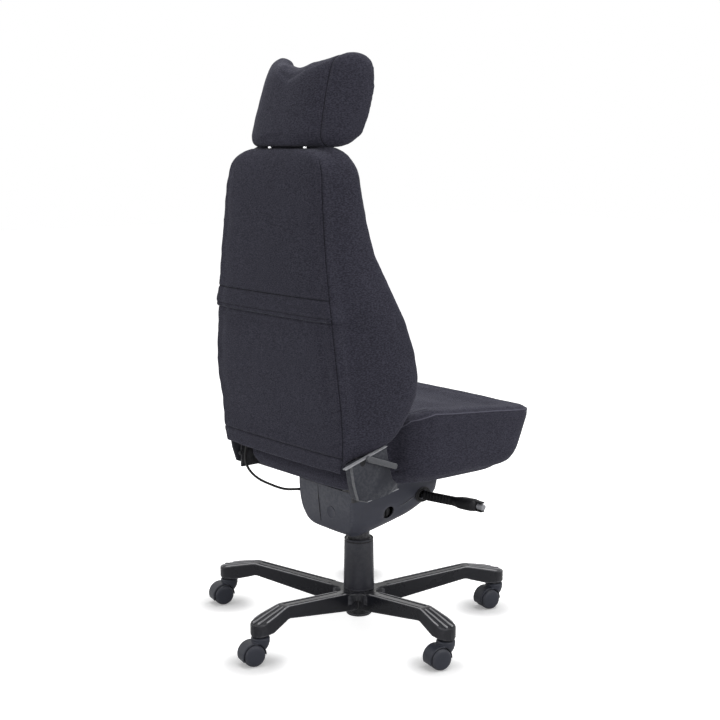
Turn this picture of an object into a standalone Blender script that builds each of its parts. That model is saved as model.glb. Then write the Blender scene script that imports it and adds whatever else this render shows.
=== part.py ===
"""Heavy-duty office chair with a high upholstered back, a headrest, a tilting seat and a caster base.

Metres, +Z up. The sitter faces -Y and the sitter's right hand is at -X. Sizes are drawn from the
column's axis, and the whole chair is shifted so that its origin is on the floor under its middle.
"""

import math

import bmesh
import bpy
from mathutils import Vector

# Fits shared by all the pieces
GAP = 0.0003
TURN_GAP = 0.0005
ROUND_STEPS = 20
HIDDEN_STEPS = 16
SMALL_STEPS = 10

# Column's axis, seen from the middle of the chair's outline
COLUMN_X = 0.0177
COLUMN_Y = -0.0270

# Five-arm base
ARM_COUNT = 5
BASE_TURN = math.radians(29.8)
STEM_CIRCLE = 0.347
HUB_RADIUS = 0.043
HUB_BOTTOM = 0.0265
ARM_ROOT_BOTTOM = 0.0350
HUB_TOP = 0.080
ARM_HALF_WIDTH = 0.0162
ARM_EDGE = 0.006
KNEE_RADIUS = 0.268
KNEE_TOP = 0.1113
KNEE_DEPTH = 0.0302
CHANNEL_DEPTH = 0.0018
CHANNEL_HALF_WIDTH = 0.007
FOOT_HALF_WIDTH = 0.0220
FOOT_BOTTOM = 0.0655
FOOT_TOP = 0.0965
FOOT_DROP = 0.005
FOOT_BORE_DEPTH = 0.026
RIB_COUNT = 3
RIB_WIDTH = 0.0042
RIB_HEIGHT = 0.0016
RIB_PITCH = 0.0105
RIB_LENGTH = 0.056

# Casters
WHEEL_RADIUS = 0.025
WHEEL_INNER_FACE = 0.0052
WHEEL_OUTER_FACE = 0.0240
WHEEL_CHAMFER = 0.0035
CASTER_TRAIL = 0.0205
CASTER_TURN = math.radians(-12.0)
HOOD_RADIUS = 0.0285
HOOD_HALF_WIDTH = 0.0232
HOOD_WEB = 0.009
HOOD_LOW_EDGE = 0.0175
WHEEL_ROOM = 0.0015
SOCKET_RADIUS = 0.0195
SOCKET_LOW = 0.040
STEM_RADIUS = 0.0055
STEM_LENGTH = 0.041
STEM_FLANGE_RADIUS = 0.010
STEM_FLANGE = 0.003
STEM_SEAT = 0.047
AXLE_RADIUS = 0.004
AXLE_HALF_LENGTH = 0.016

# Gas lift and its telescopic cover
TUBE_RADIUS = 0.025
TUBE_TAPER_RADIUS = 0.0235
TUBE_WALL = 0.0018
TUBE_BOTTOM = 0.020
TUBE_FLOOR = 0.006
TUBE_TOP = 0.196
BUSH_LENGTH = 0.080
BUSH_FLANGE = 0.003
BEARING_RADIUS = 0.012
BEARING_HEIGHT = 0.010
ROD_RADIUS = 0.005
ROD_END_RADIUS = 0.004
ROD_SHOULDER_RADIUS = 0.009
ROD_SHOULDER = 0.003
ROD_TOP = 0.222
CLIP_RADIUS = 0.011
CLIP_THICKNESS = 0.0026
CYLINDER_RADIUS = 0.014
CYLINDER_TIP_RADIUS = 0.013
CYLINDER_BOTTOM = 0.046
CYLINDER_TAPER_START = 0.240
CYLINDER_TOP = 0.293
CYLINDER_BORE_TOP = 0.248
VALVE_RADIUS = 0.003
VALVE_BOTTOM = 0.274
VALVE_TRAVEL = 0.006
COVER_FOOT_RADIUS = 0.0366
COVER_RIM_RADIUS = 0.0346
COVER_WALL = 0.002
COVER_TOP = 0.2055
UPPER_COVER_RADIUS = 0.031
UPPER_COVER_BOTTOM = 0.088
UPPER_COVER_TOP = 0.2045

# Tilt mechanism
NECK_RADIUS = 0.026
NECK_BOTTOM = 0.200
NECK_TOP = 0.291
CHASSIS_WALL = 0.005
CHASSIS_HALF_WIDTH = 0.041
CHASSIS_REAR = 0.070
CHASSIS_FRONT = -0.032
CHASSIS_FLOOR = 0.244
TOP_PLATE_REAR = 0.098
TOP_PLATE_FRONT = -0.128
TOP_PLATE_LOW = 0.329
HOUSING_HALF_WIDTH = 0.0995
HOUSING_TOP = 0.350
HOUSING_RIM = 0.008
HOUSING_FLOOR = 0.2225
HOUSING_REAR = 0.105
HOUSING_FRONT = -0.165
HOUSING_WALL = 0.003
HOUSING_EDGE = 0.004
HOUSING_FLARE = 0.002
TILT_Y = -0.075
TILT_Z = 0.352
TILT_SHAFT_RADIUS = 0.006
TILT_LUG_RADIUS = 0.0135
TILT_LUG_X = 0.052
TILT_LUG = 0.006
TILT_SHAFT_OVERHANG = 0.004
KNOB_Y = -0.012
KNOB_Z = 0.284
KNOB_RADIUS = 0.0125
KNOB_SINK = 0.015
KNOB_LENGTH = 0.0225
KNOB_OUTER = HOUSING_HALF_WIDTH - KNOB_SINK
KNOB_INNER = KNOB_OUTER - KNOB_LENGTH
KNOB_SLOT = 0.004
KNOB_SLOT_DEPTH = 0.006
KNOB_ROOM = 0.003

# Height lever
LEVER_Y = -0.115
LEVER_Z = 0.3095
LEVER_PIVOT_X = -0.050
LEVER_ROD_RADIUS = 0.005
LEVER_BEND = 0.020
LEVER_BOSS_RADIUS = 0.009
LEVER_BOSS_WIDTH = 0.016
LEVER_PIN_RADIUS = 0.003
LEVER_LUG = 0.004
LEVER_RISE = 0.073
LEVER_ROD_END_X = -0.262
LEVER_SLOT_HALF_WIDTH = 0.008
LEVER_SLOT_HALF_HEIGHT = 0.014
LEVER_KINK_X = -0.102
HANDLE_START_X = -0.106
HANDLE_NECK_X = -0.205
HANDLE_END_X = -0.286
HANDLE_HALF_HEIGHT = 0.0110
HANDLE_HALF_WIDTH = 0.008
PADDLE_HALF_HEIGHT = 0.0140
PADDLE_HALF_WIDTH = 0.0150
LOCK_KNOB_RADIUS = 0.0085
LOCK_KNOB_LENGTH = 0.019
LOCK_SPIGOT_RADIUS = 0.004
LOCK_SPIGOT_LENGTH = 0.012

# Seat
CARRIER_HALF_WIDTH = 0.105
CARRIER_REAR = 0.055
CARRIER_FRONT = -0.165
CARRIER_LOW = 0.3722
CARRIER_THICKNESS = 0.005
PAN_THICKNESS = 0.0140
PAN_INSET = 0.020
PAN_REAR_SHARE = 0.3
PAN_FLARE = 0.030
PAN_RAKE = 0.105
SEAT_FRONT = -0.339
SEAT_REAR = 0.188
SEAT_HALF_WIDTH = 0.254
SEAT_NOTCH = 0.068
SEAT_REAR_HALF_WIDTH = SEAT_HALF_WIDTH - SEAT_NOTCH
SEAT_NOTCH_Y = 0.066
SEAT_FRONT_TOP = 0.517
SEAT_MID_TOP = 0.546
SEAT_REAR_TOP = 0.452
SEAT_HOLLOW = 0.016
SEAT_CROWN = 0.006
SEAT_ROLL = 0.018
SEAT_DRAW_IN = 0.006
SEAT_LIP = 0.003
SEAT_WELT_RISE = 0.004
SEAT_SHOULDER_DROP = 0.012
SEAT_RAKE = 0.075

# Recliner at both sides of the seat
RECLINE_Y = 0.150
RECLINE_Z = 0.425
SEAT_PLATE_ROOM = 0.0217
SEAT_PLATE_INNER = SEAT_REAR_HALF_WIDTH + SEAT_PLATE_ROOM
PLATE_THICKNESS = 0.006
PLATE_HUB_RADIUS = 0.026
PLATE_FRONT = 0.108
PLATE_REAR = 0.192
PLATE_FLANGE_REACH = 0.118
PLATE_FLANGE_REAR = 0.145
PLATE_FLANGE = 0.009
RECLINE_PIN_RADIUS = 0.006
RECLINE_PIN_HEAD_RADIUS = 0.010
RECLINE_PIN_HEAD = 0.005
ARM_STRAP_REAR = 0.188
ARM_STRAP_FRONT = 0.152
ARM_STRAP_TOP = 0.580
COVER_INNER = SEAT_PLATE_INNER + 2 * PLATE_THICKNESS + 2 * GAP
RIGHT_COVER_DEPTH = 0.0252
LEFT_COVER_DEPTH = 0.0057
LEFT_COVER_TRIM = 0.005
COVER_OUTER = COVER_INNER + RIGHT_COVER_DEPTH
COVER_EDGE = 0.003
RECLINER_LEVER_Y = 0.178
RECLINER_LEVER_Z = 0.4705
RECLINER_LEVER_LENGTH = 0.082
RECLINER_LEVER_HALF_HEIGHT = 0.0068
RECLINER_LEVER_THICKNESS = 0.0095
RECLINER_LEVER_DROOP = math.radians(20.0)
RECLINER_LEVER_SPIGOT_RADIUS = 0.004
RECLINER_LEVER_SPIGOT = 0.010

# Bowden cable from the left recliner to the mechanism
CABLE_RADIUS = 0.003
CABLE_CLIP_Z = 0.434
CABLE_CLIP_HEIGHT = 0.009
CABLE_PLATE_ROOM = 0.0132
CABLE_GLAND_DEPTH = 0.0055
# Share of the way out from the housing to the plate, place along Y, height
CABLE_ROUTE = (
    (1.0, 0.1860, 0.4440),
    (1.0, 0.1890, 0.4180),
    (0.98, 0.1930, 0.3910),
    (0.885, 0.1895, 0.3665),
    (0.706, 0.1765, 0.3460),
    (0.478, 0.1545, 0.3310),
    (0.269, 0.1300, 0.3205),
    (0.119, 0.1030, 0.3185),
    (0.0, 0.0850, 0.3180),
)

# Backrest
SHELL_THICKNESS = 0.014
SHELL_BULGE = 0.004
SHELL_EDGE = 0.006
BACK_BOTTOM_REAR = 0.456
BACK_BOTTOM_SLOPE = 0.30
BACK_TOP = 1.122
BACK_SLOPE_FADE = 0.22
HEM_DROP = 0.020
HEM_SHARE = 0.860
BAND_BOTTOM = 0.768
BAND_TOP = 0.810
BAND_RISE = 0.002
BAND_LIP = 0.003

# Headrest
HEADREST_ROD_X = 0.0645
HEADREST_ROD_Y = 0.201
HEADREST_ROD_RADIUS = 0.005
HEADREST_ROD_BOTTOM = 1.005
HEADREST_ROD_TOP = 1.178
GUIDE_RADIUS = 0.009
GUIDE_FLANGE_RADIUS = 0.013
GUIDE_FLANGE = 0.003
GUIDE_BOTTOM = 0.995
HEADREST_BOTTOM = 1.127
HEADREST_TOP = 1.296
HEADREST_LOBE = 0.026
HEADREST_LOBE_X = 0.138
HEADREST_REAR = 0.226
HEADREST_LEAN = 0.27
HEADREST_HALF_WIDTH = 0.154
HEADREST_HALF_DEPTH = 0.031
WING_DEPTH = 0.104
WING_ROUND_FROM = 0.4
WING_FALL = 0.004
WING_LIFT = 0.008
WING_START = 3
WING_TIP = 0.010


def clear_scene():
    for item in list(bpy.data.objects):
        bpy.data.objects.remove(item, do_unlink=True)


def new_collection(name):
    collection = bpy.data.collections.new(name)
    bpy.context.scene.collection.children.link(collection)
    return collection


def new_material(name, colour, roughness, metallic=0.0):
    material = bpy.data.materials.new(name)
    material.use_nodes = True
    material.diffuse_color = (*colour, 1.0)
    shader = material.node_tree.nodes["Principled BSDF"]
    shader.inputs["Base Color"].default_value = (*colour, 1.0)
    shader.inputs["Roughness"].default_value = roughness
    shader.inputs["Metallic"].default_value = metallic
    return material


clear_scene()
PARTS = new_collection("office_chair")
CUTTERS = new_collection("cutters")

FABRIC = new_material("charcoal_fabric", (0.045, 0.045, 0.055), 0.95)
GREY_PLASTIC = new_material("grey_plastic", (0.115, 0.120, 0.135), 0.55)
BLACK_PLASTIC = new_material("black_plastic", (0.022, 0.022, 0.025), 0.50)
BLACK_PAINT = new_material("black_paint", (0.025, 0.025, 0.028), 0.35)
STEEL = new_material("bright_steel", (0.55, 0.55, 0.56), 0.30, 1.0)
CHROME = new_material("chrome", (0.80, 0.80, 0.82), 0.08, 1.0)
WHEEL_NYLON = new_material("wheel_nylon", (0.040, 0.040, 0.045), 0.45)
CABLE_JACKET = new_material("cable_jacket", (0.12, 0.12, 0.13), 0.50)


# Empties that carry the chair's joints

def new_joint(name, position, parent=None, turn=0.0):
    """Empty on a joint's axis, at a position measured from the column's foot."""
    empty = bpy.data.objects.new(name, None)
    empty.empty_display_size = 0.03
    empty["at"] = position
    PARTS.objects.link(empty)
    if parent is not None:
        empty.parent = parent
        empty.location = Vector(position) - Vector(parent["at"])
    else:
        empty.location = position
    empty.rotation_euler.z = turn
    return empty


def attach(item, joint):
    """Hangs a piece drawn from the column's foot on the empty of its joint."""
    item.parent = joint
    item.location = Vector(item.location) - Vector(joint["at"])


def keep(item, material, joint, smooth=True):
    """Makes an object one of the chair's pieces."""
    if item.name not in PARTS.objects:
        PARTS.objects.link(item)
    attach(item, joint)
    item.data.materials.append(material)
    if smooth and item.type == "MESH":
        item.data.shade_smooth()
        item.data.set_sharp_from_angle(angle=math.radians(35.0))
    return item


def as_cutter(item, joint):
    """Makes an object a hidden tool for Booleans."""
    if item.name not in CUTTERS.objects:
        CUTTERS.objects.link(item)
    attach(item, joint)
    item.hide_render = True
    item.display_type = "WIRE"
    return item


def boolean(item, tool, operation):
    modifier = item.modifiers.new(tool.name, "BOOLEAN")
    modifier.operation = operation
    modifier.solver = "EXACT"
    modifier.object = tool


def cut(item, tool):
    boolean(item, tool, "DIFFERENCE")


def join(item, tool):
    boolean(item, tool, "UNION")


def round_edges(item, width, segments=2):
    modifier = item.modifiers.new("rounded_edges", "BEVEL")
    modifier.width = width
    modifier.segments = segments
    modifier.limit_method = "ANGLE"
    modifier.angle_limit = math.radians(30.0)


# Basic shapes

def finish(bm, name):
    bmesh.ops.recalc_face_normals(bm, faces=bm.faces)
    mesh = bpy.data.meshes.new(name)
    bm.to_mesh(mesh)
    bm.free()
    return bpy.data.objects.new(name, mesh)


def box(name, low, high):
    bm = bmesh.new()
    bmesh.ops.create_cube(bm, size=1.0)
    low = Vector(low)
    size = Vector(high) - low
    for vert in bm.verts:
        vert.co = low + Vector((vert.co[i] + 0.5) * size[i] for i in range(3))
    return finish(bm, name)


def turned(name, profile, axis="Z", steps=ROUND_STEPS, closed=False):
    """Solid turned about an axis from (radius, place along the axis) points."""
    points = list(profile)
    area = sum(a[0] * b[1] - b[0] * a[1] for a, b in zip(points, points[1:] + points[:1]))
    if area > 0:
        points.reverse()
    bm = bmesh.new()
    verts = [bm.verts.new((radius, 0.0, place)) for radius, place in points]
    for first, second in zip(verts, verts[1:]):
        bm.edges.new((first, second))
    if closed:
        bm.edges.new((verts[-1], verts[0]))
    mesh = bpy.data.meshes.new(name)
    bm.to_mesh(mesh)
    bm.free()
    item = bpy.data.objects.new(name, mesh)
    screw = item.modifiers.new("turned", "SCREW")
    screw.axis = "Z"
    screw.steps = steps
    screw.render_steps = steps
    screw.use_merge_vertices = True
    screw.merge_threshold = 0.00002
    screw.use_smooth_shade = True
    if axis == "X":
        item.rotation_euler.y = math.pi / 2
    if axis == "Y":
        item.rotation_euler.x = -math.pi / 2
    return item


def rod(name, radius, low, high, axis="Z", steps=SMALL_STEPS):
    return turned(name, [(0.0, high), (radius, high), (radius, low), (0.0, low)], axis, steps)


def ring(name, inner, outer, low, high, steps=ROUND_STEPS):
    profile = [(inner, high), (outer, high), (outer, low), (inner, low)]
    return turned(name, profile, steps=steps, closed=True)


def arc(centre, radius, start, end, count):
    """Points on an arc, from one angle in degrees to another."""
    points = []
    for step in range(count + 1):
        angle = math.radians(start + (end - start) * step / count)
        points.append((centre[0] + radius * math.cos(angle), centre[1] + radius * math.sin(angle)))
    return points


def side_plate(name, outline, inner, outer):
    """Flat piece with a (Y, Z) outline, between two places along X."""
    curve = bpy.data.curves.new(name + "_outline", "CURVE")
    curve.dimensions = "2D"
    curve.fill_mode = "BOTH"
    curve.extrude = abs(outer - inner) / 2
    spline = curve.splines.new("POLY")
    spline.points.add(len(outline) - 1)
    for point, place in zip(spline.points, outline):
        point.co = (place[0], place[1], 0.0, 1.0)
    spline.use_cyclic_u = True
    drawn = bpy.data.objects.new(name + "_outline", curve)
    CUTTERS.objects.link(drawn)
    item = as_mesh(drawn, name)
    item.rotation_euler = (math.pi / 2, 0.0, math.pi / 2)
    item.location.x = (inner + outer) / 2
    return item


def as_mesh(drawn, name):
    """Mesh object in place of a curve object, with its caps welded."""
    graph = bpy.context.evaluated_depsgraph_get()
    mesh = bpy.data.meshes.new_from_object(drawn.evaluated_get(graph))
    bm = bmesh.new()
    bm.from_mesh(mesh)
    bmesh.ops.remove_doubles(bm, verts=bm.verts, dist=0.00001)
    bmesh.ops.recalc_face_normals(bm, faces=bm.faces)
    bm.to_mesh(mesh)
    bm.free()
    mesh.name = name
    bpy.data.objects.remove(drawn, do_unlink=True)
    return bpy.data.objects.new(name, mesh)


def tube(name, route, radius, sides=1):
    """Round bar along a route, with filled ends."""
    curve = bpy.data.curves.new(name + "_route", "CURVE")
    curve.dimensions = "3D"
    curve.bevel_depth = radius
    curve.bevel_resolution = sides
    curve.use_fill_caps = True
    spline = curve.splines.new("POLY")
    spline.points.add(len(route) - 1)
    for point, place in zip(spline.points, route):
        point.co = (*place, 1.0)
    drawn = bpy.data.objects.new(name + "_route", curve)
    CUTTERS.objects.link(drawn)
    return as_mesh(drawn, name)


# Smooth forms

def spline_points(points, count, closed):
    """Points of a smooth curve through the given ones, count of them to each span."""
    points = [Vector(point) for point in points]
    last = len(points)
    result = []
    for span in range(last if closed else last - 1):
        near = []
        for offset in (-1, 0, 1, 2):
            index = span + offset
            near.append(points[index % last] if closed else points[min(max(index, 0), last - 1)])
        before, start, end, after = near
        for step in range(count):
            t = step / count
            bend = 2 * before - 5 * start + 4 * end - after
            turn = 3 * start - before - 3 * end + after
            result.append(0.5 * (2 * start + t * (end - before) + t * t * bend + t ** 3 * turn))
    if not closed:
        result.append(points[-1])
    return result


def ramp(value, stops):
    """Height at a place on a line through (place, height) stops."""
    for (place, height), (next_place, next_height) in zip(stops, stops[1:]):
        if value <= next_place:
            share = max(0.0, (value - place) / (next_place - place))
            return height + share * (next_height - height)
    return stops[-1][1]


def mirrored(half):
    """Whole ring from its +X half, whose first and last points are on the middle plane."""
    other = [Vector((-point[0], *point[1:])) for point in half[-2:0:-1]]
    return [Vector(point) for point in half] + other


def strip_cap(bm, row):
    """Closes a narrow ring with strips across it, from its first point to the one opposite."""
    half = len(row) // 2
    bm.faces.new((row[0], row[1], row[-1]))
    for index in range(1, half - 1):
        bm.faces.new((row[index], row[index + 1], row[-index - 1], row[-index]))
    bm.faces.new((row[half - 1], row[half], row[half + 1]))


def loft(name, rings, strips=False):
    """Closed solid through rings of equally many points."""
    bm = bmesh.new()
    rows = [[bm.verts.new(point) for point in line] for line in rings]
    for lower, upper in zip(rows, rows[1:]):
        for index, vert in enumerate(lower):
            following = (index + 1) % len(lower)
            bm.faces.new((vert, lower[following], upper[following], upper[index]))
    for end in (rows[0], rows[-1]):
        if strips:
            strip_cap(bm, end)
        else:
            bm.faces.new(end)
    return finish(bm, name)


# Joints from the floor up

ROOT = new_joint("office_chair_origin", (0.0, 0.0, 0.0))
ROOT.location = (COLUMN_X, COLUMN_Y, 0.0)
SWIVEL = new_joint("seat_swivel_axis", (0.0, 0.0, TUBE_BOTTOM + TUBE_FLOOR), ROOT)
LIFT = new_joint("gas_lift_axis", (0.0, 0.0, CYLINDER_BOTTOM), SWIVEL)
VALVE = new_joint("valve_axis", (0.0, 0.0, CYLINDER_TOP), LIFT)
TENSION = new_joint("tension_axis", (-KNOB_INNER, KNOB_Y, KNOB_Z), LIFT)
LEVER = new_joint("height_lever_axis", (LEVER_PIVOT_X, LEVER_Y, LEVER_Z), LIFT)
HANDLE_CLIMB = LEVER_RISE * (LEVER_KINK_X - HANDLE_END_X)
LOCK = new_joint("tilt_lock_axis", (HANDLE_END_X, LEVER_Y, LEVER_Z + HANDLE_CLIMB), LEVER)
TILT = new_joint("seat_tilt_axis", (0.0, TILT_Y, TILT_Z), LIFT)
RECLINE = new_joint("back_recline_axis", (0.0, RECLINE_Y, RECLINE_Z), TILT)
RECLINER_LEVER = new_joint("recliner_lever_axis", (-COVER_OUTER, RECLINER_LEVER_Y, RECLINER_LEVER_Z), RECLINE)
HEADREST = new_joint("headrest_axis", (0.0, HEADREST_ROD_Y, HEADREST_BOTTOM), RECLINE)


# Five-arm base

def arm_section(radius, low, high, half_width, channel):
    """Ring across a base arm, with a channel in its top."""
    flat = half_width - ARM_EDGE
    channel_edge = min(CHANNEL_HALF_WIDTH, flat / 2)
    half = [
        (0.0, high - channel),
        (channel_edge * 0.75, high - channel),
        (channel_edge, high),
        (flat, high),
        (half_width, high - ARM_EDGE),
        (half_width, low + ARM_EDGE),
        (flat, low),
        (0.0, low),
    ]
    points = mirrored([(across, height) for across, height in half])
    return [Vector((radius, point[0], point[1])) for point in points]


def base_arm(name):
    """One arm along +X: it rises from the hub to its knee, then drops to a round-ended foot."""
    tip_top = FOOT_TOP - FOOT_DROP
    channel = CHANNEL_DEPTH
    sections = [
        arm_section(HUB_RADIUS / 2, ARM_ROOT_BOTTOM, HUB_TOP - channel, ARM_HALF_WIDTH, channel),
        arm_section(HUB_RADIUS + ARM_EDGE, ARM_ROOT_BOTTOM, HUB_TOP, ARM_HALF_WIDTH, channel),
        arm_section(KNEE_RADIUS - ARM_EDGE, KNEE_TOP - KNEE_DEPTH, KNEE_TOP, ARM_HALF_WIDTH, channel),
        arm_section(KNEE_RADIUS + ARM_EDGE, KNEE_TOP - KNEE_DEPTH, KNEE_TOP, ARM_HALF_WIDTH, 0.0),
        arm_section(STEM_CIRCLE - FOOT_HALF_WIDTH, FOOT_BOTTOM, FOOT_TOP + FOOT_DROP, FOOT_HALF_WIDTH, 0.0),
    ]
    for angle in (0.0, 35.0, 65.0):
        turn = math.radians(angle)
        reach = STEM_CIRCLE + FOOT_HALF_WIDTH * math.sin(turn)
        narrow = max(FOOT_HALF_WIDTH * math.cos(turn), ARM_EDGE + GAP)
        high = FOOT_TOP - FOOT_DROP * math.sin(turn)
        sections.append(arm_section(reach, FOOT_BOTTOM, max(high, tip_top), narrow, 0.0))
    return loft(name, sections)


def grip_rib(name, place):
    """One of the raised ribs that run down the top of a foot."""
    item = box(name, (-RIB_LENGTH / 2, place - RIB_WIDTH / 2, -RIB_HEIGHT),
               (RIB_LENGTH / 2, place + RIB_WIDTH / 2, RIB_HEIGHT))
    start = Vector((KNEE_RADIUS + ARM_EDGE, 0.0, KNEE_TOP))
    end = Vector((STEM_CIRCLE, 0.0, FOOT_TOP))
    item.location = (start + end) / 2
    item.rotation_euler.y = math.atan2(start.z - end.z, end.x - start.x)
    return item


def star_base():
    base = rod("star_base", HUB_RADIUS, HUB_BOTTOM, HUB_TOP, steps=ROUND_STEPS)
    for number in range(ARM_COUNT):
        turn = BASE_TURN + number * 2 * math.pi / ARM_COUNT
        spoke = new_joint(f"arm_{number + 1}_line", (0.0, 0.0, 0.0), ROOT, turn)
        arm = as_cutter(base_arm(f"arm_{number + 1}_form"), spoke)
        for index in range(RIB_COUNT):
            place = (index - (RIB_COUNT - 1) / 2) * RIB_PITCH
            join(arm, as_cutter(grip_rib(f"rib_{number + 1}_{index + 1}_form", place), spoke))
        join(base, arm)
        bore_top = FOOT_BOTTOM + FOOT_BORE_DEPTH
        stem_bore = rod(f"stem_bore_{number + 1}", STEM_RADIUS + TURN_GAP, HUB_BOTTOM, bore_top)
        stem_bore.location.x = STEM_CIRCLE
        cut(base, as_cutter(stem_bore, spoke))
    taper = turned("hub_bore", [
        (0.0, HUB_TOP + GAP),
        (TUBE_RADIUS + GAP, HUB_TOP + GAP),
        (TUBE_TAPER_RADIUS + GAP, TUBE_BOTTOM),
        (0.0, TUBE_BOTTOM),
    ], steps=HIDDEN_STEPS)
    cut(base, as_cutter(taper, ROOT))
    keep(base, BLACK_PAINT, ROOT)


# Casters

def caster_hood(name, joint):
    """Drum-shaped hood with a web between its wheels, an axle and the socket of its stem."""
    drum = rod(name, HOOD_RADIUS, -HOOD_HALF_WIDTH, HOOD_HALF_WIDTH, "X", HIDDEN_STEPS)
    drum.location = (0.0, CASTER_TRAIL, WHEEL_RADIUS)
    top = FOOT_BOTTOM - STEM_FLANGE - 2 * GAP
    socket = turned(name + "_socket_form", [
        (0.0, top),
        (SOCKET_RADIUS - ARM_EDGE / 3, top),
        (SOCKET_RADIUS, top - ARM_EDGE / 3),
        (SOCKET_RADIUS - ARM_EDGE / 2, SOCKET_LOW),
        (0.0, SOCKET_LOW),
    ], steps=HIDDEN_STEPS)
    join(drum, as_cutter(socket, joint))
    for side in (-1, 1):
        near, far = sorted((side * HOOD_WEB / 2, side * (HOOD_HALF_WIDTH + SOCKET_RADIUS)))
        room = rod(f"{name}_room_{side}", WHEEL_RADIUS + WHEEL_ROOM, near, far, "X", HIDDEN_STEPS)
        room.location = (0.0, CASTER_TRAIL, WHEEL_RADIUS)
        cut(drum, as_cutter(room, joint))
    reach = CASTER_TRAIL + 2 * HOOD_RADIUS
    cut(drum, as_cutter(box(name + "_below", (-reach, -reach, -reach), (reach, reach, HOOD_LOW_EDGE)), joint))
    axle = rod(name + "_axle_form", AXLE_RADIUS, -AXLE_HALF_LENGTH, AXLE_HALF_LENGTH, "X")
    axle.location = (0.0, CASTER_TRAIL, WHEEL_RADIUS)
    join(drum, as_cutter(axle, joint))
    cut(drum, as_cutter(rod(name + "_stem_bore", STEM_RADIUS + GAP, STEM_SEAT - GAP, top + GAP), joint))
    keep(drum, BLACK_PLASTIC, joint)


def caster_stem(name, joint):
    flange_top = FOOT_BOTTOM - GAP
    stem = turned(name, [
        (0.0, STEM_SEAT + STEM_LENGTH),
        (STEM_RADIUS, STEM_SEAT + STEM_LENGTH),
        (STEM_RADIUS, flange_top),
        (STEM_FLANGE_RADIUS, flange_top),
        (STEM_FLANGE_RADIUS, flange_top - STEM_FLANGE),
        (STEM_RADIUS, flange_top - STEM_FLANGE),
        (STEM_RADIUS, STEM_SEAT),
        (0.0, STEM_SEAT),
    ], steps=SMALL_STEPS)
    keep(stem, STEEL, joint)


def caster_wheel(name, side, joint):
    """Wheel with a domed, chamfered disc outside and a blind bore on its axle."""
    bore_end = AXLE_HALF_LENGTH + TURN_GAP
    bore = AXLE_RADIUS + TURN_GAP
    edge = WHEEL_CHAMFER
    profile = [
        (0.0, WHEEL_OUTER_FACE),
        (WHEEL_RADIUS - 2 * edge, WHEEL_OUTER_FACE - edge / 4),
        (WHEEL_RADIUS - edge / 2, WHEEL_OUTER_FACE - edge),
        (WHEEL_RADIUS, WHEEL_OUTER_FACE - 1.6 * edge),
        (WHEEL_RADIUS, WHEEL_INNER_FACE + edge / 3),
        (WHEEL_RADIUS - edge / 3, WHEEL_INNER_FACE),
        (bore, WHEEL_INNER_FACE),
        (bore, bore_end),
        (0.0, bore_end),
    ]
    wheel = turned(name, [(radius, side * place) for radius, place in profile], "X", HIDDEN_STEPS)
    wheel.location = joint["at"]
    keep(wheel, WHEEL_NYLON, joint)


def casters():
    for number in range(ARM_COUNT):
        angle = BASE_TURN + number * 2 * math.pi / ARM_COUNT
        stem_place = Vector((STEM_CIRCLE * math.cos(angle), STEM_CIRCLE * math.sin(angle), 0.0))
        swivel = new_joint(f"caster_{number + 1}_axis", stem_place, ROOT, CASTER_TURN)
        swivel["at"] = (0.0, 0.0, 0.0)
        caster_hood(f"caster_{number + 1}_hood", swivel)
        caster_stem(f"caster_{number + 1}_stem", swivel)
        for label, side in (("right", -1), ("left", 1)):
            axle = new_joint(f"wheel_{number + 1}_{label}_axis", (0.0, CASTER_TRAIL, WHEEL_RADIUS), swivel)
            caster_wheel(f"wheel_{number + 1}_{label}", side, axle)


# Gas lift, its bearing and its telescopic cover

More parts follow.
